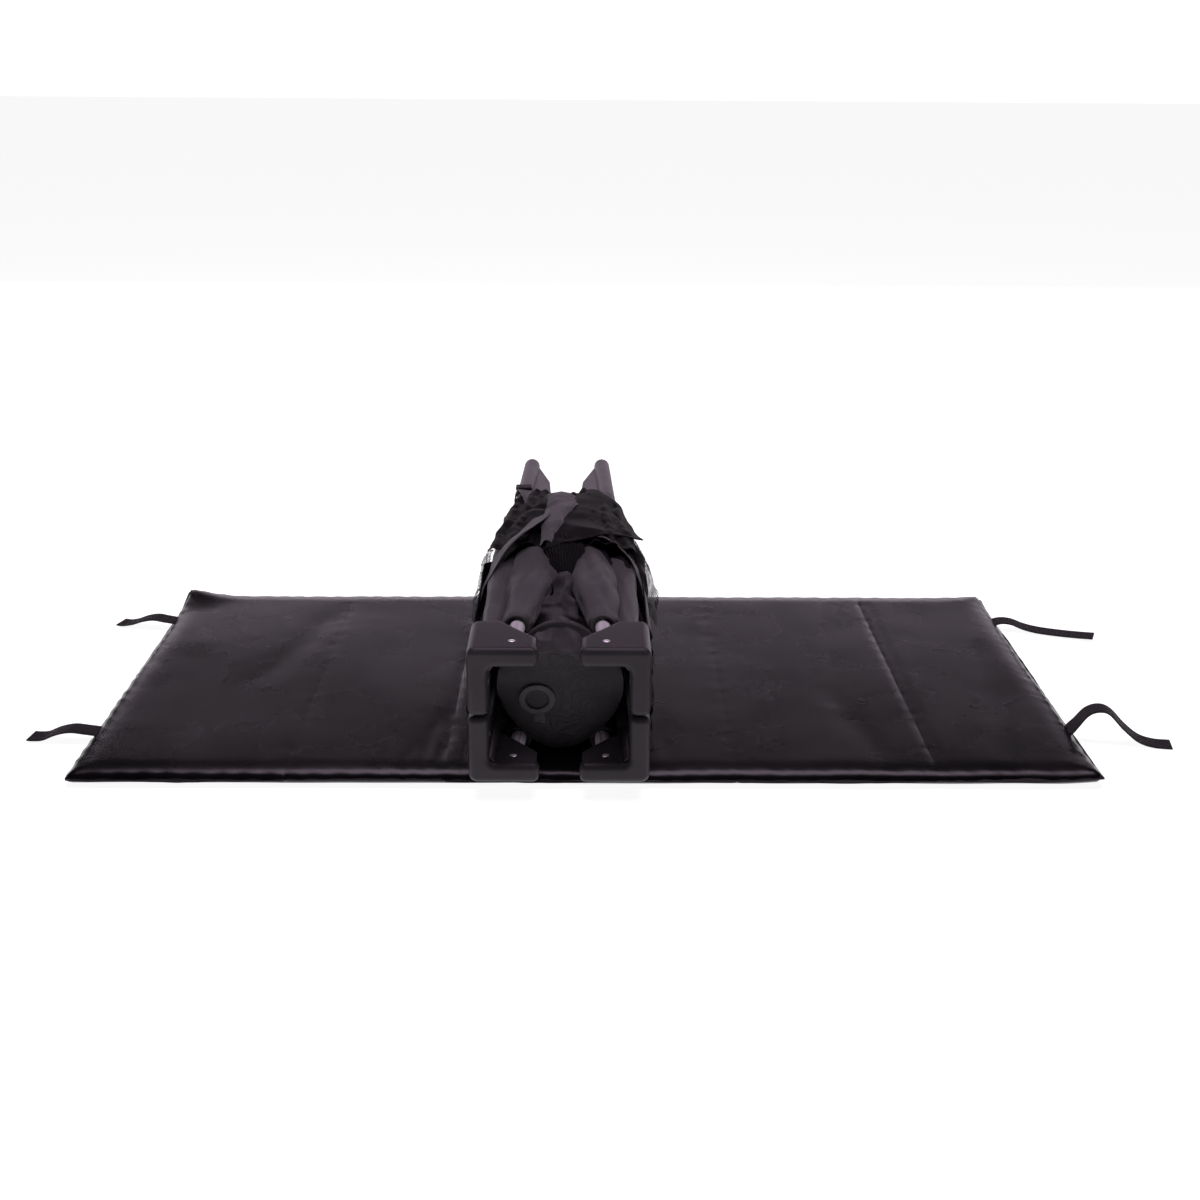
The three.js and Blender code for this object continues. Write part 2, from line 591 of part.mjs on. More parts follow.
function buttonGeometry() {
  return block(
    [-BUTTON_WIDTH / 2, LATCH_BACK - BUTTON_TRAVEL + CLEARANCE, -BUTTON_DEPTH / 2],
    [BUTTON_WIDTH / 2, LATCH_BACK + BUTTON_STAND, BUTTON_DEPTH / 2],
  );
}

const LATCHES = [
  { name: 'long_bottom', pivot: LONG_MID_X, at: [0, LONG_MID_Y, -LONG_PIVOT.z], turn: 0 },
  { name: 'long_top', pivot: LONG_MID_X, at: [0, LONG_MID_Y, LONG_PIVOT.z], turn: 0 },
  { name: 'short_left', pivot: SHORT_MID_Z, at: [-SHORT_PIVOT.x, SHORT_MID_Y, 0], turn: Math.PI / 2 },
  { name: 'short_right', pivot: SHORT_MID_Z, at: [SHORT_PIVOT.x, SHORT_MID_Y, 0], turn: Math.PI / 2 },
];

for (const { name, pivot, at, turn } of LATCHES) {
  const latch = new THREE.Group();
  latch.position.set(BUNDLE_X + at[0], at[1], BUNDLE_Z + at[2]);
  latch.rotation.y = turn;
  part.add(latch);
  addPiece(latch, `rail_latch_${name}`, latchGeometry(pivot), 'latch');
  addPiece(latch, `latch_button_${name}`, buttonGeometry(), 'button');
}

// ---------------------------------------------------------------- floor hub
function hubGeometry() {
  const half = ARM_RADIUS + CLEARANCE;
  const eye = ARM_SWEEP;
  const front = new THREE.Vector3(0, HUB_FACE, 0);
  const back = new THREE.Vector3(0, HUB_PIVOT_Y + HUB_BACK, 0);
  const slots = [];
  const pins = [];
  for (const { x, z } of QUADRANTS) {
    const angle = -Math.atan2(z * Math.sin(DIAGONAL), x * Math.cos(DIAGONAL));
    const slot = block(
      [HUB_PIVOT_RADIUS - eye, HUB_PIVOT_Y - eye, -half],
      [HUB_RADIUS + eye, HUB_PIVOT_Y + HUB_BACK + PAST, half],
    );
    slots.push(slot.rotateY(angle));
    const reach = half + CLEVIS_WALL / 2;
    const pin = rod(
      PIN_RADIUS,
      new THREE.Vector3(HUB_PIVOT_RADIUS, HUB_PIVOT_Y, -reach),
      new THREE.Vector3(HUB_PIVOT_RADIUS, HUB_PIVOT_Y, reach),
    );
    pins.push(pin.rotateY(angle));
  }
  return join(cut(rod(HUB_RADIUS, front, back, 2 * TUBE_SIDES), ...slots), ...pins);
}

const hubGroup = new THREE.Group();
hubGroup.position.set(BUNDLE_X, 0, BUNDLE_Z);
part.add(hubGroup);
addPiece(hubGroup, 'floor_hub', hubGeometry(), 'hub');

const coverFront = new THREE.Vector3(0, COVER_BACK - HUB_COVER_THICKNESS, 0);
const cover = rod(HUB_COVER_RADIUS, coverFront, new THREE.Vector3(0, COVER_BACK, 0), 2 * TUBE_SIDES);
addPiece(hubGroup, 'hub_cover', cover, 'wall');

const loopShape = new THREE.Shape();
loopShape.absellipse(0, 0, LOOP_WIDTH / 2, LOOP_HEIGHT / 2, 0, 2 * Math.PI, false);
const loopEye = new THREE.Path();
loopEye.absellipse(0, 0, LOOP_WIDTH / 2 - LOOP_BAND, LOOP_HEIGHT / 2 - LOOP_BAND, 0, 2 * Math.PI, true);
loopShape.holes.push(loopEye);
const loopBack = COVER_BACK - HUB_COVER_THICKNESS - LOOP_STAND;
const loop = plateAlongY(loopShape, loopBack - LOOP_THICKNESS, loopBack);
addPiece(hubGroup, 'pull_loop', loop, 'webbing').position.set(LOOP_X, 0, LOOP_Z);

export default part;
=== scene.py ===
# %% [markdown]
# A folding travel cot, folded into its square bundle, lies on its side across its own opened
# mattress. The fixed frame holds the sizes and the motion; this file gives every piece its finish.
# Everything is in metres, +X along the mattress, +Y from the cot's top corners to its feet, +Z up.

# %% Load the frame
import json
import math
import bpy
import bmesh
from mathutils import Matrix, Vector, noise


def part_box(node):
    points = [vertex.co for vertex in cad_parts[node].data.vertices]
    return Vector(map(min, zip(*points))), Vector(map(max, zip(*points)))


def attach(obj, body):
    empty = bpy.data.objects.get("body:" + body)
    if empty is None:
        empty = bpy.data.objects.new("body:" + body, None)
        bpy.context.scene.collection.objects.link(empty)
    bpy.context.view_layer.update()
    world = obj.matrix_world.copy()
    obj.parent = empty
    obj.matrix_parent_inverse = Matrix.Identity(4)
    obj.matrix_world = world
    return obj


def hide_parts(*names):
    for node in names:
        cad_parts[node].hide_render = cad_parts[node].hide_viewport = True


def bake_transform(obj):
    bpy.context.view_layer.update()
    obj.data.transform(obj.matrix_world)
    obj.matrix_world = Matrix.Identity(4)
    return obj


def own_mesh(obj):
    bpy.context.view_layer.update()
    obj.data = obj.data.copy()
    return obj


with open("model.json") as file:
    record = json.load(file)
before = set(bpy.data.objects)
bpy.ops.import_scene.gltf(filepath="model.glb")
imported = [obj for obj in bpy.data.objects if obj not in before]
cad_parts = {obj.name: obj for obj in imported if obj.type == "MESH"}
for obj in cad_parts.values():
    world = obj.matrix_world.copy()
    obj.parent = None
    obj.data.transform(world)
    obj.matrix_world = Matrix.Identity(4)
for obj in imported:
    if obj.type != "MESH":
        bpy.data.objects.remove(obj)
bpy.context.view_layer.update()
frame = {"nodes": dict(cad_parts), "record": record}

MM = 0.001
noise.seed_set(1)        # unseeded, the folds are drawn from the clock and differ from run to run

# %% [markdown]
# The camera stands in front of the long side of the mattress and looks about twenty degrees down.
# The floor is plain white and lit by broad, soft lights from above and behind, as on a studio table,
# so that the black satin shows a soft sheen that fades towards the viewer.

# %% Camera, floor and light
CAMERA_PLACE = Vector((-0.00378516, -1.88052597, 0.81844316))
CAMERA_DOWN = 0.35550363
CAMERA_YAW = 0.01148608
CAMERA_ROLL = 0.00695781
CAMERA_LENS = 45.5639


LIGHT_COLOUR = (1.0, 0.87, 1.0)


def add_camera():
    forward = Vector((
        math.sin(CAMERA_YAW) * math.cos(CAMERA_DOWN),
        math.cos(CAMERA_YAW) * math.cos(CAMERA_DOWN),
        -math.sin(CAMERA_DOWN),
    ))
    level = Vector((math.cos(CAMERA_YAW), -math.sin(CAMERA_YAW), 0))
    above = level.cross(forward)
    right = math.cos(CAMERA_ROLL) * level + math.sin(CAMERA_ROLL) * above
    up = -math.sin(CAMERA_ROLL) * level + math.cos(CAMERA_ROLL) * above
    data = bpy.data.cameras.new("camera")
    data.lens = CAMERA_LENS
    data.sensor_width = 36
    camera = bpy.data.objects.new("camera", data)
    turn = Matrix((right, up, -forward)).transposed().to_4x4()
    camera.matrix_world = Matrix.Translation(CAMERA_PLACE) @ turn
    bpy.context.collection.objects.link(camera)
    bpy.context.scene.camera = camera


def add_area_light(name, place, target, size, watts):
    data = bpy.data.lights.new(name, "AREA")
    data.shape = "RECTANGLE"
    data.size, data.size_y = size
    data.energy = watts
    data.color = LIGHT_COLOUR
    light = bpy.data.objects.new(name, data)
    light.location = place
    light.rotation_euler = (Vector(target) - Vector(place)).to_track_quat("-Z", "Y").to_euler()
    bpy.context.collection.objects.link(light)


def add_floor():
    bm = bmesh.new()
    bmesh.ops.create_grid(bm, x_segments=1, y_segments=1, size=20)
    mesh = bpy.data.meshes.new("studio_floor")
    bm.to_mesh(mesh)
    bm.free()
    floor = bpy.data.objects.new("studio_floor", mesh)
    bpy.context.collection.objects.link(floor)
    material = bpy.data.materials.new("studio_floor")
    material.use_nodes = True
    shader = material.node_tree.nodes["Principled BSDF"]
    shader.inputs["Base Color"].default_value = (0.6, 0.6, 0.6, 1)
    shader.inputs["Emission Color"].default_value = (1, 1, 1, 1)
    shader.inputs["Emission Strength"].default_value = 0.92
    shader.inputs["Roughness"].default_value = 0.9
    shader.inputs["Specular IOR Level"].default_value = 0.1
    floor.data.materials.append(material)


def add_sky():
    world = bpy.data.worlds.new("studio")
    world.use_nodes = True
    nodes, links = world.node_tree.nodes, world.node_tree.links
    nodes["Background"].inputs["Color"].default_value = (1, 1, 1, 1)
    nodes["Background"].inputs["Strength"].default_value = 1.05
    soft = nodes.new("ShaderNodeBackground")
    soft.inputs["Color"].default_value = (*LIGHT_COLOUR, 1)
    soft.inputs["Strength"].default_value = 0.035
    seen = nodes.new("ShaderNodeLightPath")
    mix = nodes.new("ShaderNodeMixShader")
    links.new(seen.outputs["Is Camera Ray"], mix.inputs[0])
    links.new(soft.outputs[0], mix.inputs[1])
    links.new(nodes["Background"].outputs[0], mix.inputs[2])
    links.new(mix.outputs[0], nodes["World Output"].inputs["Surface"])
    bpy.context.scene.world = world


add_camera()
add_floor()
add_sky()
add_area_light("back_softbox", (0, 3.4, 0.64), (0, 0.3, 0), (4.6, 0.42), 15)
add_area_light("top_softbox", (0.1, 0.3, 2.6), (0, 0, 0), (2.6, 1.6), 46)
bpy.context.scene.view_settings.view_transform = "Standard"
bpy.context.scene.view_settings.look = "None"

# %% [markdown]
# Cloth, moulded plastic and painted tube each show a fine pattern. A pattern that several finishes
# share is a node group: the weave gives a height and a slight change of tone, and the grain gives a
# height and a slight change of tone. Each finish sets its own scale and strength.

# %% Shared effects
def make_group(name, inputs, outputs):
    group = bpy.data.node_groups.new(name, "ShaderNodeTree")
    for label, value in inputs:
        socket = group.interface.new_socket(name=label, in_out="INPUT", socket_type="NodeSocketFloat")
        socket.default_value = value
    group.interface.new_socket(name="Vector", in_out="INPUT", socket_type="NodeSocketVector")
    for label in outputs:
        group.interface.new_socket(name=label, in_out="OUTPUT", socket_type="NodeSocketFloat")
    return group, group.nodes.new("NodeGroupInput"), group.nodes.new("NodeGroupOutput")


def math_node(nodes, links, operation, first, second):
    node = nodes.new("ShaderNodeMath")
    node.operation = operation
    for socket, value in zip(node.inputs, (first, second)):
        if isinstance(value, (int, float)):
            socket.default_value = value
        else:
            links.new(value, socket)
    return node.outputs[0]


def make_weave():
    group, given, result = make_group("woven_threads", [("Scale", 900.0)], ["Height", "Tone"])
    nodes, links = group.nodes, group.links
    waves = []
    for direction in ("X", "Y"):
        wave = nodes.new("ShaderNodeTexWave")
        wave.bands_direction = direction
        wave.inputs["Distortion"].default_value = 0.6
        wave.inputs["Detail"].default_value = 0.0
        links.new(given.outputs["Vector"], wave.inputs["Vector"])
        links.new(given.outputs["Scale"], wave.inputs["Scale"])
        waves.append(wave.outputs["Fac"])
    links.new(math_node(nodes, links, "MULTIPLY", *waves), result.inputs["Height"])
    blotch = nodes.new("ShaderNodeTexNoise")
    blotch.inputs["Scale"].default_value = 9.0
    blotch.inputs["Detail"].default_value = 3.0
    links.new(given.outputs["Vector"], blotch.inputs["Vector"])
    links.new(blotch.outputs["Fac"], result.inputs["Tone"])
    return group


def make_grain():
    group, given, result = make_group("moulded_grain", [("Scale", 1400.0)], ["Height", "Tone"])
    nodes, links = group.nodes, group.links
    fine = nodes.new("ShaderNodeTexNoise")
    fine.inputs["Detail"].default_value = 2.0
    links.new(given.outputs["Vector"], fine.inputs["Vector"])
    links.new(given.outputs["Scale"], fine.inputs["Scale"])
    links.new(fine.outputs["Fac"], result.inputs["Height"])
    rub = nodes.new("ShaderNodeTexNoise")
    rub.inputs["Scale"].default_value = 26.0
    rub.inputs["Detail"].default_value = 5.0
    links.new(given.outputs["Vector"], rub.inputs["Vector"])
    links.new(rub.outputs["Fac"], result.inputs["Tone"])
    return group


WEAVE = make_weave()
GRAIN = make_grain()
print("shared effects:", WEAVE.name, GRAIN.name)


# %% [markdown]
# Every finish is a Principled shader. The group's tone moves the colour between a darker and a
# lighter shade, and the group's height goes through a Bump node, so cloth keeps its threads and
# plastic its grain from any side. Satin gets a little sheen; webbing gets a rougher, larger weave.

# %% Finishes
def finish(name, dark, light, roughness, group, scale, bump, metallic=0.0, sheen=0.0, specular=0.5, coat=0.0):
    material = bpy.data.materials.new(name)
    material.use_nodes = True
    nodes, links = material.node_tree.nodes, material.node_tree.links
    shader = nodes["Principled BSDF"]
    shader.inputs["Metallic"].default_value = metallic
    shader.inputs["Sheen Weight"].default_value = sheen
    shader.inputs["Sheen Roughness"].default_value = 0.4
    shader.inputs["Specular IOR Level"].default_value = specular
    shader.inputs["Coat Weight"].default_value = coat
    shader.inputs["Specular Tint"].default_value = (1, 0.9, 1, 1)
    place = nodes.new("ShaderNodeTexCoord")
    effect = nodes.new("ShaderNodeGroup")
    effect.node_tree = group
    effect.inputs["Scale"].default_value = scale
    links.new(place.outputs["Object"], effect.inputs["Vector"])
    ramp = nodes.new("ShaderNodeValToRGB")
    ramp.color_ramp.elements[0].position = 0.35
    ramp.color_ramp.elements[0].color = (*dark, 1)
    ramp.color_ramp.elements[1].position = 0.65
    ramp.color_ramp.elements[1].color = (*light, 1)
    links.new(effect.outputs["Tone"], ramp.inputs["Fac"])
    links.new(ramp.outputs["Color"], shader.inputs["Base Color"])
    shine = nodes.new("ShaderNodeMapRange")
    shine.inputs["To Min"].default_value = roughness - 0.05
    shine.inputs["To Max"].default_value = roughness + 0.06
    links.new(effect.outputs["Tone"], shine.inputs["Value"])
    links.new(shine.outputs["Result"], shader.inputs["Roughness"])
    height = nodes.new("ShaderNodeBump")
    height.inputs["Strength"].default_value = bump
    height.inputs["Distance"].default_value = 0.0004
    links.new(effect.outputs["Height"], height.inputs["Height"])
    links.new(height.outputs["Normal"], shader.inputs["Normal"])
    return material


def grey(value):
    return (value, value * 0.9, value)


FINISHES = {
    "casting": finish("casting", grey(0.03), grey(0.038), 0.38, GRAIN, 1500, 0.2, specular=0.16),
    "rivet": finish("rivet", grey(0.85), grey(0.95), 0.35, GRAIN, 900, 0.05, metallic=0.7),
    "tube_light": finish("tube_light", grey(0.62), grey(0.7), 0.45, GRAIN, 2200, 0.1, specular=0.5),
    "tube_dark": finish("tube_dark", grey(0.03), grey(0.045), 0.42, GRAIN, 2200, 0.12),
    "foot": finish("foot", grey(0.11), grey(0.14), 0.55, GRAIN, 1500, 0.25),
    "latch": finish("latch", grey(0.018), grey(0.026), 0.5, GRAIN, 1500, 0.25),
    "button": finish("button", grey(0.13), grey(0.17), 0.5, GRAIN, 1500, 0.2),
    "hub_plastic": finish("hub_plastic", grey(0.02), grey(0.03), 0.55, GRAIN, 1500, 0.25),
    "wall_fabric": finish("wall_fabric", grey(0.004), grey(0.007), 0.6, WEAVE, 700, 0.3, specular=0.1),
    "sleeve_fabric": finish("sleeve_fabric", grey(0.032), grey(0.044), 0.6, WEAVE, 700, 0.3, sheen=0.2),
    "floor_fabric": finish("floor_fabric", grey(0.012), grey(0.017), 0.6, WEAVE, 700, 0.35, sheen=0.15),
    "lining": finish("lining", grey(0.06), grey(0.085), 0.75, WEAVE, 600, 0.35, sheen=0.3),
    "webbing": finish("webbing", grey(0.012), grey(0.02), 0.8, WEAVE, 420, 0.8, sheen=0.15, specular=0.3),
    "mattress_fabric": finish("mattress_fabric", grey(0.0022), grey(0.0034), 0.27, WEAVE, 1100, 0.06, specular=0.35),
    "binding": finish("binding", grey(0.006), grey(0.01), 0.7, WEAVE, 800, 0.5, sheen=0.1),
}

# %% [markdown]
# The folded frame is four equal quadrants round one middle line. Each quadrant's pieces are drawn in
# millimetres with +X and +Z pointing outwards from that middle, then placed by a mirroring scale.
# A mirrored mesh has its faces turned back, so that they still point outwards.

# %% Places taken from the frame
low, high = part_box("corner_casting_lower_left"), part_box("corner_casting_upper_right")
MIDDLE_X = (low[0][0] + high[1][0]) / 2 / MM
MIDDLE_Z = (low[0][2] + high[1][2]) / 2 / MM
HALF_WIDTH = (high[1][0] - low[0][0]) / 2 / MM
HALF_HEIGHT = (high[1][2] - low[0][2]) / 2 / MM
NEAR = low[0][1] / MM
FOOT_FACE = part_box("foot_lower_left")[1][1] / MM
PAD_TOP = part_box("pad_centre")[1][2] / MM
QUADRANTS = {"lower_left": (-1, -1), "lower_right": (1, -1), "upper_right": (1, 1), "upper_left": (-1, 1)}
print("bundle middle", MIDDLE_X, MIDDLE_Z, "half sizes", HALF_WIDTH, HALF_HEIGHT, "near", NEAR)


# %% Helpers for pieces
def make_piece(name, bm, body, slot, stands_for=(), look=None):
    """Turns a bmesh in metres into a smooth piece with its finish and body; the slot picks the finish unless a look is
    given.
    """
    mesh = bpy.data.meshes.new(name)
    bm.to_mesh(mesh)
    bm.free()
    mesh.polygons.foreach_set("use_smooth", [True] * len(mesh.polygons))
    piece = bpy.data.objects.new(name, mesh)
    bpy.context.collection.objects.link(piece)
    mesh.materials.append(FINISHES[look or slot])
    if stands_for:
        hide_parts(*stands_for)
    if body:
        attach(piece, body)
    return piece


def place_quadrant(bm, sign_x, sign_z):
    """Moves a quadrant's shape, in millimetres round the bundle's middle, to its place in metres."""
    bmesh.ops.scale(bm, vec=(sign_x * MM, MM, sign_z * MM), verts=bm.verts)
    bmesh.ops.translate(bm, vec=(MIDDLE_X * MM, 0, MIDDLE_Z * MM), verts=bm.verts)
    if sign_x * sign_z < 0:
        bmesh.ops.reverse_faces(bm, faces=bm.faces)


def to_metres(bm):
    bmesh.ops.scale(bm, vec=(MM, MM, MM), verts=bm.verts)


def add_modifier(piece, kind, **settings):
    modifier = piece.modifiers.new(kind.lower(), kind)
    for label, value in settings.items():
        setattr(modifier, label, value)
    return modifier


def soft_edges(piece, width, segments=3, angle=32):
    """Rounds a hard piece's edges by a bevel, in millimetres."""
    add_modifier(
        piece, "BEVEL", width=width * MM, segments=segments, limit_method="ANGLE",
        angle_limit=math.radians(angle), harden_normals=False,
    )
    add_modifier(piece, "WEIGHTED_NORMAL", keep_sharp=False)


def apply_modifiers(piece):
    """Writes a piece's modifiers into its mesh."""
    finished = bpy.data.meshes.new_from_object(piece.evaluated_get(bpy.context.evaluated_depsgraph_get()))
    piece.modifiers.clear()
    piece.data = finished


def rounded_copy(node, width, slot, look=None, name=None):
    """A copy of a frame node with its flats merged and its edges rounded, which stands for the node."""
    source = frame["nodes"][node]
    bm = bmesh.new()
    bm.from_mesh(source.data)
    bmesh.ops.remove_doubles(bm, verts=bm.verts, dist=0.00001)
    bmesh.ops.dissolve_limit(bm, angle_limit=math.radians(3), verts=bm.verts, edges=bm.edges)
    body = next(key for key, names in frame["record"]["behaviour"]["bodies"].items() if node in names)
    piece = make_piece(name or f"{node}_finished", bm, body, slot, [node], look)
    soft_edges(piece, width)
    return piece


# %% [markdown]
# A corner casting is one moulding: an L of two arms of the same square section, deep at the corner
# where the leg goes in and shallower at the arms' ends. It could be cut from a block, but here its
# L face is drawn once, extruded to its depth and bevelled all round, so every edge has the soft
# radius of the moulding. The rail channels and the leg's bore are then cut by Booleans.

# %% Corner castings
SECTION = 23
LONG_ARM = 80
SHORT_ARM = 82
CORNER_DEPTH = 93
END_DEPTH = 40
SHOULDER = 36
FILLET = 9
MOULD_RADIUS = 8
OUTER_RADIUS = 10
PIVOT_FROM_CORNER = 50
PIVOT_DEPTH = 28
CHANNEL_START = 39
CHANNEL_HALF = 9.3


def casting_outline():
    """The L's corner patch and its two arms, as three faces that share edges."""
    inner_x, inner_z = HALF_WIDTH - SECTION, HALF_HEIGHT - SECTION
    fillet = []
    for step in range(5):
        angle = math.radians(90 * step / 4)
        across = inner_x - FILLET + FILLET * math.sin(angle)
        upward = inner_z - FILLET + FILLET * math.cos(angle)
        fillet.append((across, upward))
    outer = []
    for step in range(6):
        angle = math.radians(90 * step / 5)
        across = HALF_WIDTH - OUTER_RADIUS + OUTER_RADIUS * math.cos(angle)
        upward = HALF_HEIGHT - OUTER_RADIUS + OUTER_RADIUS * math.sin(angle)
        outer.append((across, upward))
    corner = [
        *outer, (HALF_WIDTH - SHOULDER, HALF_HEIGHT), (HALF_WIDTH - SHOULDER, inner_z),
        *fillet, (inner_x, HALF_HEIGHT - SHOULDER), (HALF_WIDTH, HALF_HEIGHT - SHOULDER),
    ]
    long_arm = [
        (HALF_WIDTH - SHOULDER, HALF_HEIGHT), (HALF_WIDTH - LONG_ARM, HALF_HEIGHT),
        (HALF_WIDTH - LONG_ARM, inner_z), (HALF_WIDTH - SHOULDER, inner_z),
    ]
    short_arm = [
        (inner_x, HALF_HEIGHT - SHOULDER), (inner_x, HALF_HEIGHT - SHORT_ARM),
        (HALF_WIDTH, HALF_HEIGHT - SHORT_ARM), (HALF_WIDTH, HALF_HEIGHT - SHOULDER),
    ]
    return [corner, long_arm, short_arm]


def casting_body():
    bm = bmesh.new()
    for points in casting_outline():
        bm.faces.new([bm.verts.new((x, NEAR, z)) for x, z in points])
    bmesh.ops.remove_doubles(bm, verts=bm.verts, dist=0.01)
    bmesh.ops.recalc_face_normals(bm, faces=bm.faces)
    pulled = bmesh.ops.extrude_face_region(bm, geom=bm.faces[:])
    back = [item for item in pulled["geom"] if isinstance(item, bmesh.types.BMVert)]
    bmesh.ops.translate(bm, vec=(0, CORNER_DEPTH, 0), verts=back)
    for vert in back:
        at_end = vert.co.x < HALF_WIDTH - LONG_ARM + 1 or vert.co.z < HALF_HEIGHT - SHORT_ARM + 1
        if at_end:
            vert.co.y = NEAR + END_DEPTH
    bmesh.ops.recalc_face_normals(bm, faces=bm.faces)
    sharp = [edge for edge in bm.edges if edge.calc_face_angle(0) > math.radians(60)]
    bmesh.ops.bevel(
        bm, geom=sharp, offset=MOULD_RADIUS, offset_type="OFFSET", segments=5, profile=0.5,
        affect="EDGES", clamp_overlap=False, material=-1,
    )
    return bm


def box_cutter(low, high):
    bm = bmesh.new()
    bmesh.ops.create_cube(bm, size=1)
    bmesh.ops.scale(bm, vec=[high[i] - low[i] for i in range(3)], verts=bm.verts)
    bmesh.ops.translate(bm, vec=[(high[i] + low[i]) / 2 for i in range(3)], verts=bm.verts)
    return bm


def round_cutter(radius, start, end, sides=40):
    start, end = Vector(start), Vector(end)
    bm = bmesh.new()
    bmesh.ops.create_cone(
        bm, cap_ends=True, segments=sides, radius1=radius, radius2=radius, depth=(end - start).length,
    )
    turn = (end - start).to_track_quat("Z", "Y").to_matrix()
    bmesh.ops.rotate(bm, cent=(0, 0, 0), matrix=turn, verts=bm.verts)
    bmesh.ops.translate(bm, vec=(start + end) / 2, verts=bm.verts)
    return bm


def cut_away(piece, cutters):
    """Cuts shapes, given in the piece's own units, out of a piece."""
    tools = []
    for bm in cutters:
        mesh = bpy.data.meshes.new("cutter")
        bm.to_mesh(mesh)
        bm.free()
        tool = bpy.data.objects.new("cutter", mesh)
        bpy.context.collection.objects.link(tool)
        tools.append(tool)
        add_modifier(piece, "BOOLEAN", operation="DIFFERENCE", solver="EXACT", object=tool)
    bpy.context.view_layer.update()
    apply_modifiers(piece)
    for tool in tools:
        bpy.data.objects.remove(tool)


LEG_TOP = Vector((HALF_WIDTH - 20, NEAR + 8.6, HALF_HEIGHT - 20))
LEG_END = Vector((56, FOOT_FACE - 17, 70))


def on_leg(y):
    return LEG_TOP.lerp(LEG_END, (y - LEG_TOP.y) / (LEG_END.y - LEG_TOP.y))


def casting_cutters():
    pivot_y = NEAR + PIVOT_DEPTH
    rail_z, rail_x = HALF_HEIGHT - SECTION / 2, HALF_WIDTH - SECTION / 2
    front, past = pivot_y - 11, NEAR + CORNER_DEPTH + 5
    long_x, short_z = HALF_WIDTH - PIVOT_FROM_CORNER, HALF_HEIGHT - PIVOT_FROM_CORNER
    cutters = [
        box_cutter((HALF_WIDTH - LONG_ARM - 5, front, rail_z - CHANNEL_HALF),
                   (HALF_WIDTH - CHANNEL_START, past, rail_z + CHANNEL_HALF)),
        box_cutter((rail_x - CHANNEL_HALF, front, HALF_HEIGHT - SHORT_ARM - 5),
                   (rail_x + CHANNEL_HALF, past, HALF_HEIGHT - CHANNEL_START)),
        round_cutter(10.3, on_leg(NEAR + 8), on_leg(past + 5)),
        round_cutter(4.8, (long_x, pivot_y, rail_z - 12.5), (long_x, pivot_y, rail_z + 12.5)),
        round_cutter(4.8, (rail_x - 12.5, pivot_y, short_z), (rail_x + 12.5, pivot_y, short_z)),
    ]
    return cutters


def add_castings():
    for name, (sign_x, sign_z) in QUADRANTS.items():
        casting = make_piece(
            f"corner_moulding_{name}", casting_body(), f"corner_{name}", "casting",
            [f"corner_casting_{name}"],
        )
        cut_away(casting, casting_cutters())
        bm = bmesh.new()
        bm.from_mesh(casting.data)
        place_quadrant(bm, sign_x, sign_z)
        bm.to_mesh(casting.data)
        bm.free()
        add_modifier(casting, "WEIGHTED_NORMAL", keep_sharp=False)


add_castings()

# %% [markdown]
# Tubes are turned: a thin rectangle, the wall's section, is spun once round the tube's axis. Rivets
# are turned too, from the outline of their domed heads and shank.

# %% Tubes and rivets
def turned(profile, start, end, steps=40):
    """A solid turned from (radius, height) points, standing from start to end."""
    start, end = Vector(start), Vector(end)
    bm = bmesh.new()
    ring = [bm.verts.new((radius, 0, height)) for radius, height in profile]
    edges = [bm.edges.new((ring[i], ring[(i + 1) % len(ring)])) for i in range(len(ring))]
    bmesh.ops.spin(
        bm, geom=ring + edges, cent=(0, 0, 0), axis=(0, 0, 1), angle=math.tau, steps=steps, use_merge=True,
    )
    bmesh.ops.remove_doubles(bm, verts=bm.verts, dist=0.0001)
    turn = (end - start).to_track_quat("Z", "Y").to_matrix()
    bmesh.ops.rotate(bm, cent=(0, 0, 0), matrix=turn, verts=bm.verts)
    bmesh.ops.translate(bm, vec=start, verts=bm.verts)
    bmesh.ops.recalc_face_normals(bm, faces=bm.faces)
    return bm


def tube_profile(radius, wall, length):
    soft = 0.3
    return [
        (radius - wall, soft), (radius - wall + soft, 0), (radius - soft, 0), (radius, soft),
        (radius, length - soft), (radius - soft, length), (radius - wall + soft, length),
        (radius - wall, length - soft),
    ]


LONG_RAIL = 558
SHORT_RAIL = 265
LINK_END = 6
TILT = math.radians(2.5)
PIVOT_Y = NEAR + PIVOT_DEPTH
LONG_PIVOT = Vector((HALF_WIDTH - PIVOT_FROM_CORNER, PIVOT_Y, HALF_HEIGHT - SECTION / 2))
SHORT_PIVOT = Vector((HALF_WIDTH - SECTION / 2, PIVOT_Y, HALF_HEIGHT - PIVOT_FROM_CORNER))
LONG_WAY = Vector((-math.sin(TILT), math.cos(TILT), 0))
SHORT_WAY = Vector((0, math.cos(TILT), -math.sin(TILT)))


def add_quadrant_piece(label, name, bm, body, slot, look=None):
    sign_x, sign_z = QUADRANTS[name]
    place_quadrant(bm, sign_x, sign_z)
    return make_piece(f"{label}_round_{name}", bm, body, slot, [f"{label}_{name}"], look)


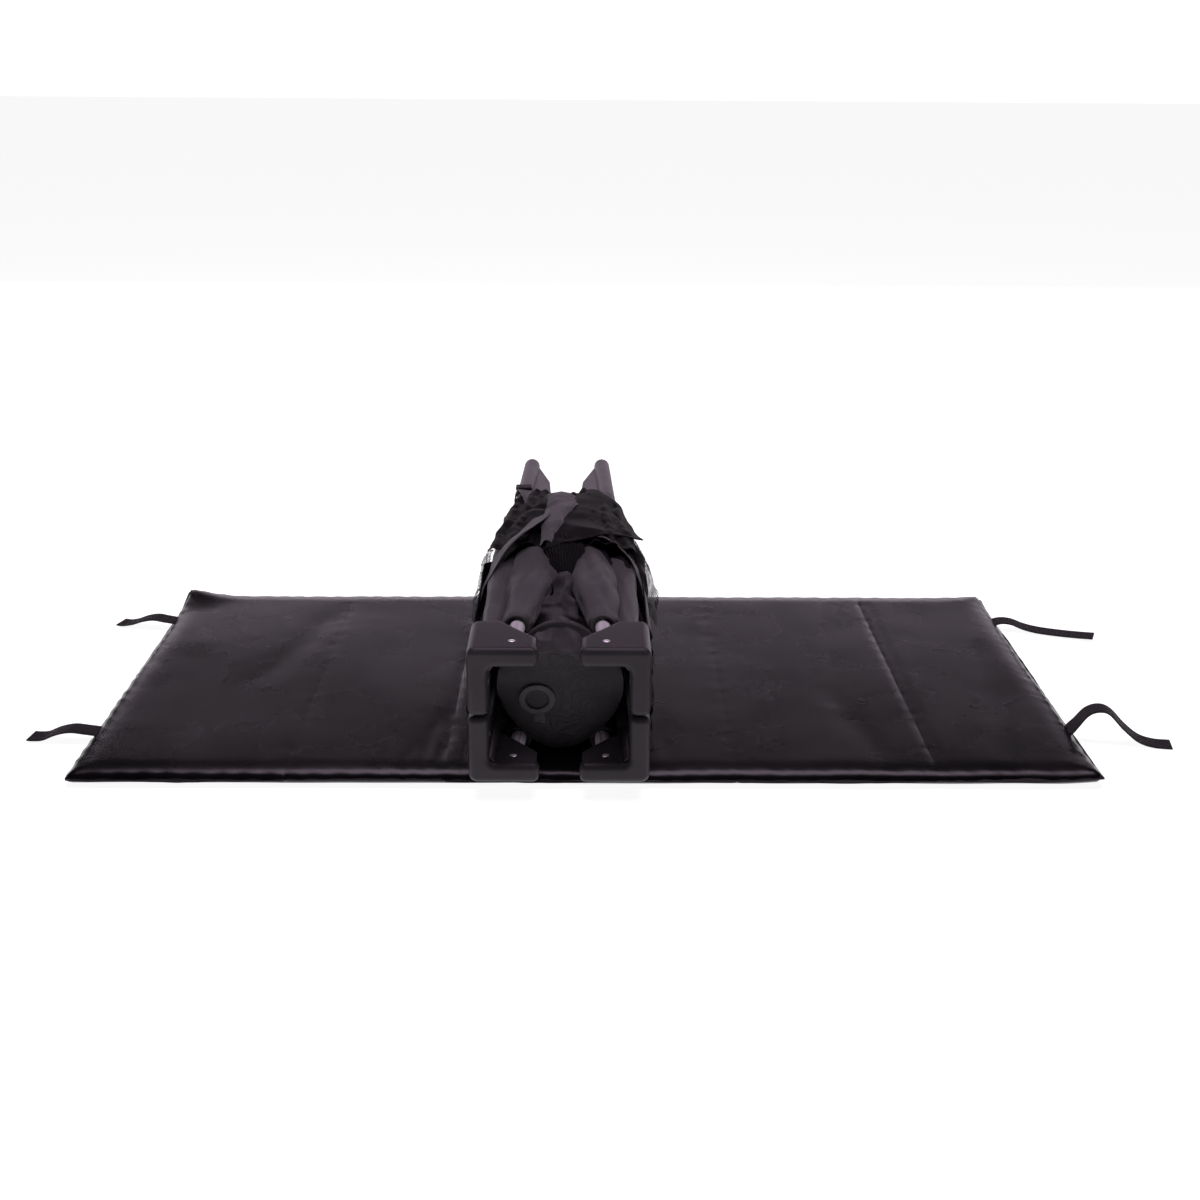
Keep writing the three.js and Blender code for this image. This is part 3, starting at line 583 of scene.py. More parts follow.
def add_tubes():
    for name in QUADRANTS:
        length = (LEG_END - LEG_TOP).length
        bm = turned(tube_profile(10, 1.5, length), LEG_TOP, LEG_END)
        add_quadrant_piece("leg", name, bm, f"corner_{name}", "tube_dark")
        for label, pivot, way, reach in (
            ("long_rail", LONG_PIVOT, LONG_WAY, LONG_RAIL), ("short_rail", SHORT_PIVOT, SHORT_WAY, SHORT_RAIL),
        ):
            start, end = pivot - LINK_END * way, pivot + (reach + LINK_END) * way
            bm = turned(tube_profile(9, 1.5, reach + 2 * LINK_END), start, end)
            body = f"{label.split('_')[0]}_half_{name}"
            piece = add_quadrant_piece(label, name, bm, body, "tube_light")
            bore_pivot(piece, name, pivot, label)


def bore_pivot(piece, name, pivot, label):
    """Drills the rail's pivot eye, so that its pin shows in a hole."""
    sign_x, sign_z = QUADRANTS[name]
    reach = Vector((0, 0, 12)) if label == "long_rail" else Vector((12, 0, 0))
    bm = round_cutter(3.3, pivot - reach, pivot + reach, 20)
    place_quadrant(bm, sign_x, sign_z)
    cut_away(piece, [bm])


def add_rivets():
    half = SECTION / 2
    profile = [(0, -half), (3.2, -half), (4.3, 0.5 - half), (4.5, 1 - half), (3, 1 - half)]
    profile += [(radius, -height) for radius, height in reversed(profile)]
    for name in QUADRANTS:
        for label, pivot, way in (("long_rivet", LONG_PIVOT, "Z"), ("short_rivet", SHORT_PIVOT, "X")):
            step = Vector((0, 0, 1)) if way == "Z" else Vector((1, 0, 0))
            bm = turned(profile, pivot, pivot + step, 28)
            add_quadrant_piece(label, name, bm, f"corner_{name}", "rivet")


add_tubes()
add_rivets()

# %% [markdown]
# The feet, latches, buttons, floor hub and floor arms keep the frame's own shapes. Each is copied,
# its flat triangles are merged and its edges rounded by a bevel, as a moulding's edges are.

# %% Mouldings kept from the frame
for quadrant in QUADRANTS:
    rounded_copy(f"foot_{quadrant}", 1.6, "foot")
    rounded_copy(f"floor_arm_{quadrant}", 0.3, "tube_dark")
for latch in ("long_bottom", "long_top", "short_left", "short_right"):
    rounded_copy(f"rail_latch_{latch}", 0.6, "latch")
    rounded_copy(f"latch_button_{latch}", 1.2, "button")
rounded_copy("floor_hub", 1.2, "hub_plastic")
print("mouldings done")

# %% [markdown]
# The mattress is five thin padded panels, sewn together along their top seams. Each panel starts as a
# fine grid that is extruded once, so it is a closed form from the start. Its top crowns up from the
# sewn edges, its underside stays flat on the floor, and the cloth pulls into small puckers along
# every seam, because thread always gathers a satin cloth a little.

# %% Mattress panels
CELL = 6.0
EDGE_ROLL = 34
SEAM_ROLL = 15
SEAM_DEPTH = 0.35
BINDING_HEIGHT = 9


def rise(distance, width):
    """0 at a seam, 1 a given width away from it, on a quarter circle."""
    share = min(max(distance / width, 0), 1)
    return math.sqrt(1 - (1 - share) ** 2)


def ripple(x, y, scale, seed):
    return noise.noise(Vector((x / scale, y / scale, seed)))


def crease(x, y, at_x, lean, start, end, depth, width):
    """A long soft crease near x = at_x that leans with y and fades at both ends."""
    off = (x - at_x - lean * y - 3 * ripple(0, y, 60, at_x)) / width
    fade = min(max((y - start) / 60, 0), 1) * min(max((end - y) / 60, 0), 1)
    return -depth * math.exp(-off * off) * fade


PANEL_CREASES = [
    (-166, 0.02, -310, 70, 2.4, 5), (-178, 0.05, -300, -120, 1.8, 4), (-150, -0.03, -310, -160, 2.0, 4),
    (-190, 0.08, -310, -210, 1.6, 4), (330, 0.12, -120, 330, 1.0, 16), (-420, 0.25, -60, 260, 0.9, 22),
    (300, -0.2, -320, -40, 1.0, 20), (540, 0.15, -320, 120, 0.9, 18), (-520, -0.2, -250, 100, 0.8, 20),
    (410, 0.0, -310, 310, 1.1, 3.5), (421, 0.01, -310, 310, 1.0, 4), (96, 0.0, -310, -120, 1.2, 5),
]


def panel_heights(x, y, left, right):
    """Top and underside of a panel at a point, in millimetres."""
    half_width, half_length = 300, 600
    free = min(half_width - abs(y), half_length - abs(x))
    swell = rise(free, EDGE_ROLL)
    seam = min(x - left, right - x) if left > -half_length and right < half_length else (
        right - x if left <= -half_length else x - left)
    dip = SEAM_DEPTH * (1 - rise(seam, SEAM_ROLL))
    pucker = 0.9 * (1 - swell) * math.sin((x + y) / 4.6 + 3 * ripple(x, y, 40, 2))
    pucker += 0.16 * (1 - rise(seam, 26)) * math.sin(y / 5.2 + 2 * ripple(x, y, 30, 7))
    soft = 1.0 * ripple(x, y, 190, 1) + 0.22 * ripple(x, y, 60, 4) + 0.06 * ripple(x, y, 18, 9)
    folds = sum(crease(x, y, *given) for given in PANEL_CREASES)
    top = BINDING_HEIGHT + 1 + (PAD_TOP - BINDING_HEIGHT - 1.6) * swell
    top += (soft + folds - dip) * swell + pucker
    under = (BINDING_HEIGHT - 1) * (1 - rise(free, 22))
    return min(top, PAD_TOP + 1.2), max(under, 0)


def corner_lift(x, y):
    """How far the mattress's corners curl off the floor."""
    far_left = max(0, 1 - math.hypot(x + 600, y - 300) / 90)
    far_right = max(0, 1 - math.hypot(x - 600, y - 300) / 70)
    near_right = max(0, 1 - math.hypot(x - 600, y + 300) / 60)
    return 13 * far_left ** 2 + 3 * far_right ** 2 + 4 * near_right ** 2


def panel_mesh(left, right):
    columns = max(2, round((right - left) / CELL))
    rows = round(600 / CELL)
    bm = bmesh.new()
    bmesh.ops.create_grid(bm, x_segments=columns, y_segments=rows, size=0.5)
    bmesh.ops.scale(bm, vec=(right - left, 600, 1), verts=bm.verts)
    bmesh.ops.translate(bm, vec=((left + right) / 2, 0, 0), verts=bm.verts)
    pulled = bmesh.ops.extrude_face_region(bm, geom=bm.faces[:])
    tops = {item for item in pulled["geom"] if isinstance(item, bmesh.types.BMVert)}
    for vert in bm.verts:
        x, y = vert.co.x, vert.co.y
        top, under = panel_heights(x, y, left, right)
        vert.co.z = (top if vert in tops else under) + corner_lift(x, y)
        edge_wave = 2.2 * ripple(x, y, 90, 5)
        if abs(y) > 260:
            vert.co.y += math.copysign(edge_wave - 2.2, y) * (abs(y) - 260) / 40
        if abs(x) > 560:
            vert.co.x += math.copysign(edge_wave - 2.2, x) * (abs(x) - 560) / 40
    bmesh.ops.recalc_face_normals(bm, faces=bm.faces)
    for edge in bm.edges:
        first, last = (vert.co.x for vert in edge.verts)
        along_seam = abs(first - last) <= 0.05 and min(abs(first - left), abs(first - right)) < 0.05
        if along_seam and abs(abs(first) - 600) >= 10 and all(vert in tops for vert in edge.verts):
            edge.smooth = False
    to_metres(bm)
    return bm


PANELS = ["pad_left_outer", "pad_left_inner", "pad_centre", "pad_right_inner", "pad_right_outer"]
PANEL_BODIES = ["left_outer", "left_inner", "mattress_centre", "right_inner", "right_outer"]
SEAMS = [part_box(PANELS[0])[0][0] / MM] + [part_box(panel)[1][0] / MM for panel in PANELS]
for index, (panel, body) in enumerate(zip(PANELS, PANEL_BODIES)):
    mesh = panel_mesh(SEAMS[index], SEAMS[index + 1])
    piece = make_piece(f"{panel}_quilted", mesh, body, "mattress_fabric", [panel])
print("mattress seams at", SEAMS)

# %% [markdown]
# A folded tape binds the mattress's raw edge all round. Each panel carries its own length of it, so
# that it folds with the panel: a small oblong section follows the panel's free edges.

# %% Binding tape and seam covers
def ribbon(points, across, thickness, width_cells=2):
    """A flat closed band along points: across gives the band's half width as a vector at each point."""
    bm = bmesh.new()
    rows = []
    for point, side in zip(points, across):
        point, side = Vector(point), Vector(side)
        row = [bm.verts.new(point + side * (2 * i / width_cells - 1)) for i in range(width_cells + 1)]
        rows.append(row)
    for row, after in zip(rows, rows[1:]):
        for i in range(width_cells):
            bm.faces.new((row[i], row[i + 1], after[i + 1], after[i]))
    bmesh.ops.recalc_face_normals(bm, faces=bm.faces)
    bmesh.ops.solidify(bm, geom=bm.faces[:], thickness=thickness)
    bmesh.ops.recalc_face_normals(bm, faces=bm.faces)
    return bm


def edge_point(x, y, outwards):
    """A point of the binding's middle line, in millimetres."""
    edge_wave = 2.2 * ripple(x, y, 90, 5)
    height = BINDING_HEIGHT + corner_lift(x, y) + 0.8 * ripple(x, y, 14, 3)
    shift = Vector(outwards) * (edge_wave + 0.5)
    return Vector((x, y, height)) + shift


def binding_run(left, right):
    """The free edges of one panel, as runs of points with their outward direction."""
    runs = []
    columns = max(8, round((right - left) / 8))
    for side in (-1, 1):
        line = [left + (right - left) * i / columns for i in range(columns + 1)]
        runs.append([edge_point(x, side * 300, (0, side, 0)) for x in line])
    for end, side in ((left, -1), (right, 1)):
        if abs(abs(end) - 600) < 1:
            line = [-300 + 600 * i / 76 for i in range(77)]
            runs.append([edge_point(side * 600, y, (side, 0, 0)) for y in line])
    return runs


def add_binding():
    for index, (panel, body) in enumerate(zip(PANELS, PANEL_BODIES)):
        for count, run in enumerate(binding_run(SEAMS[index], SEAMS[index + 1])):
            outwards = Vector((0, math.copysign(1, run[0].y), 0))
            if abs(run[0].x - run[-1].x) < 40:
                outwards = Vector((math.copysign(1, run[0].x), 0, 0))
            across = []
            for point in run:
                tilt = 0.35 * ripple(point.x, point.y, 55, 8)
                across.append(outwards * 5.2 + Vector((0, 0, 5.2 * tilt)))
            bm = ribbon(run, across, 1.6)
            to_metres(bm)
            piece = make_piece(f"binding_{panel}_{count}", bm, body, "mattress_fabric", look="binding")
            add_modifier(piece, "SUBSURF", levels=1, render_levels=1)


def add_seam_covers():
    """A soft strip over each fold seam joins two panels; it rides on no body, so it does not bend with their hinge."""
    for index in range(4):
        seam = SEAMS[index + 1]
        points = [(seam, -276 + 552 * i / 74, PAD_TOP - SEAM_DEPTH - 5) for i in range(75)]
        points = [(seam + 0.8 * ripple(0, y, 40, index), y, z + 0.5 * math.sin(y / 5)) for _, y, z in points]
        bm = ribbon(points, [(9, 0, 0)] * len(points), 0.9, 8)
        to_metres(bm)
        piece = make_piece(f"seam_strip_{index}", bm, None, "mattress_fabric")
        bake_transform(piece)


add_binding()
add_seam_covers()

# %% [markdown]
# Four hook-and-loop straps are sewn into the ends of the mattress. Webbing is stiff along its length,
# so each strap stands out of its seam, arches once and comes down flat on the floor. Straps are
# modelled straight away as bands, because a cloth simulation would lose their thin edge.

# %% Tie straps
STRAPS = {
    "rear_left": {"side": -1, "body": "tie_rear_left", "rows": [
        (0, 200, 11), (14, 201, 13), (30, 203, 15), (46, 205, 12), (62, 208, 6), (76, 212, 2.6), (86, 215, 2.6)]},
    "front_left": {"side": -1, "body": "tie_front_left", "rows": [
        (0, -178, 11), (14, -178, 13), (32, -178, 15), (50, -177, 11), (66, -176, 4), (78, -175, 2.6),
        (86, -174, 2.6)]},
    "rear_right": {"side": 1, "body": "tie_rear_right", "rows": [
        (0, 205, 10), (12, 204, 13), (26, 202, 12), (44, 198, 6), (64, 192, 2.8), (92, 181, 2.6),
        (118, 171, 3.5), (137, 163, 5)]},
    "front_right": {"side": 1, "body": "tie_front_right", "rows": [
        (0, -168, 12), (8, -168, 22), (20, -169, 38), (34, -171, 44), (48, -173, 40), (66, -177, 22),
        (84, -181, 8), (102, -185, 3), (123, -189, 2.8)]},
}
STRAP_HALF = 13
EDGE_END = 600


def smooth_line(points, steps):
    """A smooth line through points, by Catmull and Rom's blend."""
    ends = [2 * Vector(points[0]) - Vector(points[1])] + [Vector(p) for p in points]
    ends.append(2 * ends[-1] - ends[-2])
    line = []
    for i in range(1, len(ends) - 2):
        a, b, c, d = ends[i - 1:i + 3]
        for step in range(steps):
            t = step / steps
            line.append(0.5 * (2 * b + (c - a) * t + (2 * a - 5 * b + 4 * c - d) * t * t
                               + (3 * b - a - 3 * c + d) * t ** 3))
    line.append(ends[-2])
    return line


def add_straps():
    for name, facts in STRAPS.items():
        side = facts["side"]
        line = smooth_line([(side * (EDGE_END + out), y, z) for out, y, z in facts["rows"]], 8)
        across = []
        for place, point in enumerate(line):
            after = line[min(place + 1, len(line) - 1)] - line[max(place - 1, 0)]
            flat = Vector((-after.y, after.x, 0)).normalized()
            across.append(flat * STRAP_HALF)
        bm = ribbon(line, across, 1.9, 6)
        for vert in bm.verts:
            vert.co.z = max(vert.co.z, 0.4)
        to_metres(bm)
        piece = make_piece(f"tie_strap_{name}", bm, facts["body"], "webbing", [f"strap_{name}"])
        add_modifier(piece, "BEVEL", width=0.0004, segments=2, limit_method="ANGLE", angle_limit=0.9)


add_straps()

# %% [markdown]
# Seen from the cot's top, the floor's cloth is drawn over its round hub. It is a low dome, so it
# starts as a sphere that is flattened; the cloth's slack shows as soft radial folds. A webbing ring
# with a sewn tab is the handle that pulls the floor up when the cot is folded.

# %% Floor cloth over the hub, and its pull loop
def hub_dome():
    box_low, box_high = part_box("hub_cover")
    radius = (box_high[0] - box_low[0]) / 2 / MM
    back, front = box_high[1] / MM, box_low[1] / MM
    bm = bmesh.new()
    bmesh.ops.create_uvsphere(bm, u_segments=120, v_segments=48, radius=1)
    bmesh.ops.rotate(bm, cent=(0, 0, 0), matrix=Matrix.Rotation(math.pi / 2, 3, "X"), verts=bm.verts)
    for vert in bm.verts:
        x, y, z = vert.co
        around, out = math.atan2(z, x), math.hypot(x, z)
        fold = 2.0 * math.sin(5 * around + 1.5 * math.sin(2 * around)) * out ** 2
        fold += 3.0 * max(0, 1 - abs(around + 0.35) / 0.5) * out
        fold += 2.2 * ripple(x * 60, z * 60, 34, 6) + 1.2 * ripple(x * 60, z * 60, 14, 2)
        deep = (back - front) * (0.55 + 0.45 * math.sqrt(max(0, 1 - out ** 6)))
        squarish = 1 + 0.035 * math.cos(4 * around)
        vert.co.x, vert.co.z = x * radius * squarish, z * radius * squarish * 1.09
        vert.co.y = back - (deep + fold * 0.8 if y < 0 else 0.6)
    bmesh.ops.recalc_face_normals(bm, faces=bm.faces)
    place_quadrant(bm, 1, 1)
    return bm


def pull_ring():
    box_low, box_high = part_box("pull_loop")
    wide, tall = (box_high[0] - box_low[0]) / 2, (box_high[2] - box_low[2]) / 2
    middle = [(a + b) / 2 for a, b in zip(box_low, box_high)]
    bm = bmesh.new()
    bmesh.ops.create_circle(bm, segments=72, radius=1)
    rim = bm.edges[:]
    pulled = bmesh.ops.extrude_edge_only(bm, edges=rim)
    inner = [item for item in pulled["geom"] if isinstance(item, bmesh.types.BMVert)]
    for vert in bm.verts:
        share = 0.66 if vert in inner else 1.0
        vert.co = Vector((vert.co.x * wide * share, 0.0006 * math.sin(3 * vert.co.x), vert.co.y * tall * share))
    bmesh.ops.recalc_face_normals(bm, faces=bm.faces)
    bmesh.ops.solidify(bm, geom=bm.faces[:], thickness=0.0022)
    bmesh.ops.translate(bm, vec=middle, verts=bm.verts)
    bmesh.ops.recalc_face_normals(bm, faces=bm.faces)
    return bm


cover = make_piece("floor_cloth_on_hub", hub_dome(), "hub", "floor_fabric", ["hub_cover"])
ring = make_piece("pull_ring", pull_ring(), "hub", "webbing", ["pull_loop"], look="lining")
add_modifier(ring, "BEVEL", width=0.0007, segments=2, limit_method="ANGLE", angle_limit=0.9)


def add_ring_tab():
    """The stitched tab that holds the ring."""
    low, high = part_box("pull_loop")
    middle, face = (low[0] + high[0]) / 2 / MM, high[1] / MM + 0.6
    foot = low[2] / MM
    bm = ribbon([(middle + 2, face, foot + 3), (middle + 3, face + 0.6, foot - 6), (middle + 3, face + 2.6, foot - 15)],
                [(7, 0, 0)] * 3, 1.4, 4)
    to_metres(bm)
    make_piece("ring_tab", bm, "hub", "webbing", look="lining")


add_ring_tab()

# %% [markdown]
# The rails run inside padded sleeves of the wall cloth. Each sleeve starts with a sewn hem ring,
# swells, and thins again where the folded half rail ends. Cross sections are lofted along the rail:
# a circle is extruded ring by ring, and the loft's radii and a few broad folds give it the crumple.

# %% Lofted cloth tubes
def loft(stations, spokes=64, folds=0.0, seed=0.0, caps=True):
    """A closed tube through (centre, half width, half height) stations; folds adds lengthwise creases."""
    bm = bmesh.new()
    bmesh.ops.create_circle(bm, cap_ends=False, segments=spokes, radius=1)
    rim = bm.edges[:]
    rings = [list(bm.verts)]
    for _ in stations[1:]:
        pulled = bmesh.ops.extrude_edge_only(bm, edges=rim)["geom"]
        rim = [item for item in pulled if isinstance(item, bmesh.types.BMEdge)
               and all(vert in pulled for vert in item.verts)]
        rings.append([item for item in pulled if isinstance(item, bmesh.types.BMVert)])
    places = {}
    for ring, (centre, wide, tall) in zip(rings, stations):
        for vert in ring:
            around = math.atan2(vert.co.y, vert.co.x)
            along = centre[1]
            wave = noise.noise(Vector((2.1 * math.cos(around), 2.1 * math.sin(around), along / 48 + seed)))
            deep = noise.noise(Vector((1.2 * math.cos(around) + seed, along / 90, 1.2 * math.sin(around))))
            ridge = 1 - abs(noise.noise(Vector((1.6 * math.cos(around + along / 130), along / 70 + seed, seed))))
            swell = 1 + folds * (0.35 * wave + 0.5 * deep - 0.25 * ridge ** 6)
            places[vert] = Vector((
                centre[0] + wide * swell * math.cos(around), along, centre[2] + tall * swell * math.sin(around)))
    for vert, place in places.items():
        vert.co = place
    if caps:
        bmesh.ops.holes_fill(bm, edges=[edge for edge in bm.edges if edge.is_boundary], sides=0)
    bmesh.ops.recalc_face_normals(bm, faces=bm.faces)
    return bm


def stations_along(start, way, places):
    """Stations from (distance, half width, half height, shift across, shift up) along a straight line."""
    made = []
    for distance, wide, tall, across, up in places:
        centre = start + distance * way + Vector((across, 0, up))
        made.append((tuple(centre), wide, tall))
    return made


def resample(places, step):
    """Adds rows between the given ones, on smooth curves."""
    count = len(places[0])
    made = []
    for i in range(len(places) - 1):
        a = places[max(i - 1, 0)]
        b, c = places[i], places[i + 1]
        d = places[min(i + 2, len(places) - 1)]
        parts = max(1, round((c[0] - b[0]) / step))
        for part in range(parts):
            t = part / parts
            row = []
            for k in range(count):
                slope_b, slope_c = (c[k] - a[k]) / 2, (d[k] - b[k]) / 2
                if k == 0:
                    slope_b = slope_c = c[k] - b[k]
                row.append((2 * t ** 3 - 3 * t * t + 1) * b[k] + (t ** 3 - 2 * t * t + t) * slope_b
                           + (3 * t * t - 2 * t ** 3) * c[k] + (t ** 3 - t * t) * slope_c)
            made.append(tuple(row))
    made.append(tuple(places[-1]))
    return made


LONG_SLEEVE = {
    "upper_left": [(71, 15, 11.6, 0, -0.5), (76, 17.5, 13, 0, 0), (100, 19, 13, 0, 0), (140, 23, 14, -3, 1),
                   (190, 28, 16, -6, 3), (250, 28, 16, -6, 4), (320, 24, 14, -2, 3), (420, 17, 12, 0, 0),
                   (512, 13, 10, 0, 0)],
    "upper_right": [(71, 15, 11.6, 0, -0.5), (76, 17.5, 13, 0, 0), (110, 22, 15, -1, 1), (160, 27, 17, -3, 3),
                    (215, 28, 18, -5, 5), (270, 24, 16, -6, 5), (330, 19, 14, -3, 2), (420, 17, 12, 0, 0),
                    (512, 13, 10, 0, 0)],
    "lower_left": [(71, 15, 11, 0, 0), (80, 17, 11, 0, 0), (240, 19, 11, 0, 0), (400, 17, 11, 0, 0),
                   (512, 13, 10, 0, 0)],
}
LONG_SLEEVE["lower_right"] = LONG_SLEEVE["lower_left"]


def hollow_ring(centre, radius, thick, seed):
    """A hem: a small roll of doubled cloth round a tube's mouth."""
    bm = turned([(radius + thick * math.cos(a) * 0.9, thick * math.sin(a)) for a in
                 [math.tau * i / 12 for i in range(12)]], centre, Vector(centre) + Vector((0, 1, 0)), 56)
    for vert in bm.verts:
        vert.co += Vector((0, 0.8 * noise.noise(vert.co / 9 + Vector((seed, 0, 0))), 0))
    return bm


def add_sleeves():
    for count, name in enumerate(QUADRANTS):
        rows = resample(LONG_SLEEVE[name], 7)
        folds = 0.34 if name.startswith("upper") else 0.15
        bm = loft(stations_along(LONG_PIVOT, LONG_WAY, rows), 72, folds, seed=3.7 * count)
        sign_x, sign_z = QUADRANTS[name]
        place_quadrant(bm, sign_x, sign_z)
        body = f"long_half_{name}"
        piece = make_piece(f"rail_sleeve_{name}", bm, body, "sleeve_fabric", [f"long_sleeve_{name}"])
        hem = hollow_ring(LONG_PIVOT + 70 * LONG_WAY, 13.5, 2.3, count)
        place_quadrant(hem, sign_x, sign_z)
        make_piece(f"sleeve_hem_{name}", hem, body, "sleeve_fabric")
        short_rows = resample([(50, 11.3, 11.3, 0, 0), (56, 12, 12, 0, 0), (150, 12.4, 12.4, 0, 0),
                               (226, 12, 12, 0, 0), (232, 11, 11, 0, 0)], 9)
        bm = loft(stations_along(SHORT_PIVOT, SHORT_WAY, short_rows), 40, 0.08, seed=9.1 * count)
        place_quadrant(bm, sign_x, sign_z)
        make_piece(f"short_sleeve_{name}", bm, f"short_half_{name}", "sleeve_fabric")


add_sleeves()

# %% [markdown]
# Each leg also stands in a sewn tunnel of the wall cloth, slack and folded. The tunnels ride on the
# corners. Their mouths open just behind the corner castings.

# %% Leg tunnels
def add_leg_tunnels():
    for count, name in enumerate(QUADRANTS):
        sign_x, sign_z = QUADRANTS[name]
        rows = []
        for y, wide, tall, across in ((-238, 12.5, 13, 0), (-225, 13, 13.5, 0), (-170, 14.5, 14, 1),
                                      (-60, 17, 14, 3), (60, 18, 13, 5), (180, 16, 12.5, 4),
                                      (270, 13, 12.2, 0), (288, 12.4, 12, 0)):
            rows.append((y, wide, tall, across, 0))
        stations = []
        for y, wide, tall, across, _ in resample(rows, 8):
            centre = on_leg(y)
            stations.append(((centre.x + across, y, centre.z), wide, tall))
        bm = loft(stations, 56, 0.22, seed=20 + 5.3 * count)
        place_quadrant(bm, sign_x, sign_z)
        piece = make_piece(f"leg_tunnel_{name}", bm, f"corner_{name}", "sleeve_fabric")


add_leg_tunnels()

# %% [markdown]
# The cot's walls are one sheet of cloth and net, gathered between the folded legs. No single form
# could hold its folds, so each visible lap of it is its own sheet, spread between two given edge
# lines. A grid is moved onto the lines, then a bulge, long ridges and a fine crumple lift it. The laps
# that join a leg to a rail ride on no body, so they keep their folded shape as the cot opens.

# %% Cloth between two lines
def rumple(point, size, scale, seed):
    """A smooth displacement for a point, with a few sharper ridges."""
    at = Vector(point) / scale + Vector((seed, 2 * seed, -seed))
    broad = noise.noise_vector(at)
    ridge = 1 - 2 * abs(noise.noise(at * 0.8 + Vector((5, 1, 3))))
    fine = noise.noise_vector(at * 2.7)
    return size * (broad + 0.3 * fine + Vector((0, 0, 0.55 * max(ridge, 0) ** 3)))


def spread(first, second, columns, rows, bulge=0.0, lift=(0, 0, 1), crumple=5.0, scale=55.0, seed=0.0, pleats=None):
    """A grid of cloth between two lines of points, in millimetres, both running the same way."""
    rows_first, rows_second = smooth_line(first, 24), smooth_line(second, 24)
    bm = bmesh.new()
    bmesh.ops.create_grid(bm, x_segments=columns, y_segments=rows, size=0.5)
    lift = Vector(lift)

    def along(line, share):
        place = share * (len(line) - 1)
        start = min(int(place), len(line) - 2)
        return line[start].lerp(line[start + 1], place - start)

    for vert in bm.verts:
        u, v = vert.co.x + 0.5, vert.co.y + 0.5
        point = along(rows_first, v).lerp(along(rows_second, v), u)
        point += lift * bulge * math.sin(math.pi * u)
        if pleats:
            count, deep = pleats
            point += lift * deep * math.sin(math.tau * count * u + 2 * noise.noise(Vector((0, 3 * v, seed))))
        vert.co = point + rumple(point, crumple, scale, seed)
    return bm


SHEET_TOP = 210                 # no lap stands higher than this over the floor


def keep_inside(bm, floor_height=PAD_TOP + 1.5):
    for vert in bm.verts:
        vert.co.z = min(max(vert.co.z, floor_height), SHEET_TOP)


def lay_cloth(name, bm, body, look, thickness=1.4, stands_for=()):
    """Makes a spread grid a sheet of cloth with a real thickness."""
    bm.verts.index_update()
    keep_inside(bm)
    to_metres(bm)
    slot = "wall_fabric" if look in ("wall_fabric", "net", "lining") else look
    piece = make_piece(name, bm, None, slot, stands_for, look)
    add_modifier(piece, "SOLIDIFY", thickness=thickness * MM, offset=0)
    add_modifier(piece, "SUBSURF", levels=1, render_levels=1)
    if body:
        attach(piece, body)
    return piece


# %% [markdown]
# Net lets the white of the room through. Its holes are a lattice of small lozenges, made by two
# crossed waves in the Alpha input, so it needs no picture and looks the same from every side.

# %% Net
def make_net():
    material = FINISHES["wall_fabric"].copy()
    material.name = "net"
    nodes, links = material.node_tree.nodes, material.node_tree.links
    place = nodes.new("ShaderNodeTexCoord")
    waves = []
    for angle in (38, -38):
        turn = nodes.new("ShaderNodeMapping")
        turn.inputs["Rotation"].default_value = (math.radians(90 + angle), math.radians(30), math.radians(angle))
        wave = nodes.new("ShaderNodeTexWave")
        wave.inputs["Scale"].default_value = 48.0
        wave.inputs["Distortion"].default_value = 0.4
        links.new(place.outputs["Object"], turn.inputs["Vector"])
        links.new(turn.outputs["Vector"], wave.inputs["Vector"])
        waves.append(wave.outputs["Fac"])
    thread = math_node(nodes, links, "MAXIMUM", *waves)
    cut = math_node(nodes, links, "GREATER_THAN", thread, 0.86)
    links.new(cut, nodes["Principled BSDF"].inputs["Alpha"])
    return material


FINISHES["net"] = make_net()

# %% [markdown]
# Beside the frame the cloth hangs in one long lap on each side of each leg. It rides on the corner.

# %% Side laps
SIDE_UPPER = [(55, 298, 74), (72, 190, 72), (84, 60, 70), (90, -60, 66), (98, -150, 64), (103, -230, 60)]
SIDE_MIDDLE = [(66, 302, 4), (76, 190, 3), (84, 60, 2), (102, -60, 2), (107, -150, 2), (106, -230, 4)]
SIDE_LOWER = [(70, 300, 76), (90, 190, 78), (102, 60, 78), (107, -60, 78), (107, -150, 78), (105, -230, 70)]


def mirror_line(line, sign_x, sign_z):
    return [(MIDDLE_X + sign_x * x, y, MIDDLE_Z + sign_z * z) for x, y, z in line]

LAP_CLEAR_OF_FRAME = 102.5      # from the bundle's middle to the side laps, beside the castings


def add_side_laps():
    columns, rows = 26, 110
    for count, (name, (sign_x, sign_z)) in enumerate(QUADRANTS.items()):
        edge = SIDE_UPPER if sign_z > 0 else SIDE_LOWER
        bm = spread(
            mirror_line(edge, sign_x, sign_z), mirror_line(SIDE_MIDDLE, sign_x, sign_z), columns, rows,
            bulge=2, lift=(sign_x, 0, 0), crumple=4, scale=48, seed=3.1 * count, pleats=(2.5, 2.4),
        )
        for vert in bm.verts:
            out = sign_x * (vert.co.x - MIDDLE_X)
            if vert.co.y < 0 and out < LAP_CLEAR_OF_FRAME:
                vert.co.x = MIDDLE_X + sign_x * LAP_CLEAR_OF_FRAME
        lay_cloth(f"side_lap_{name}", bm, f"corner_{name}", "wall_fabric",
                  stands_for=[f"wall_bundle_{name}"], thickness=2.0)


add_side_laps()

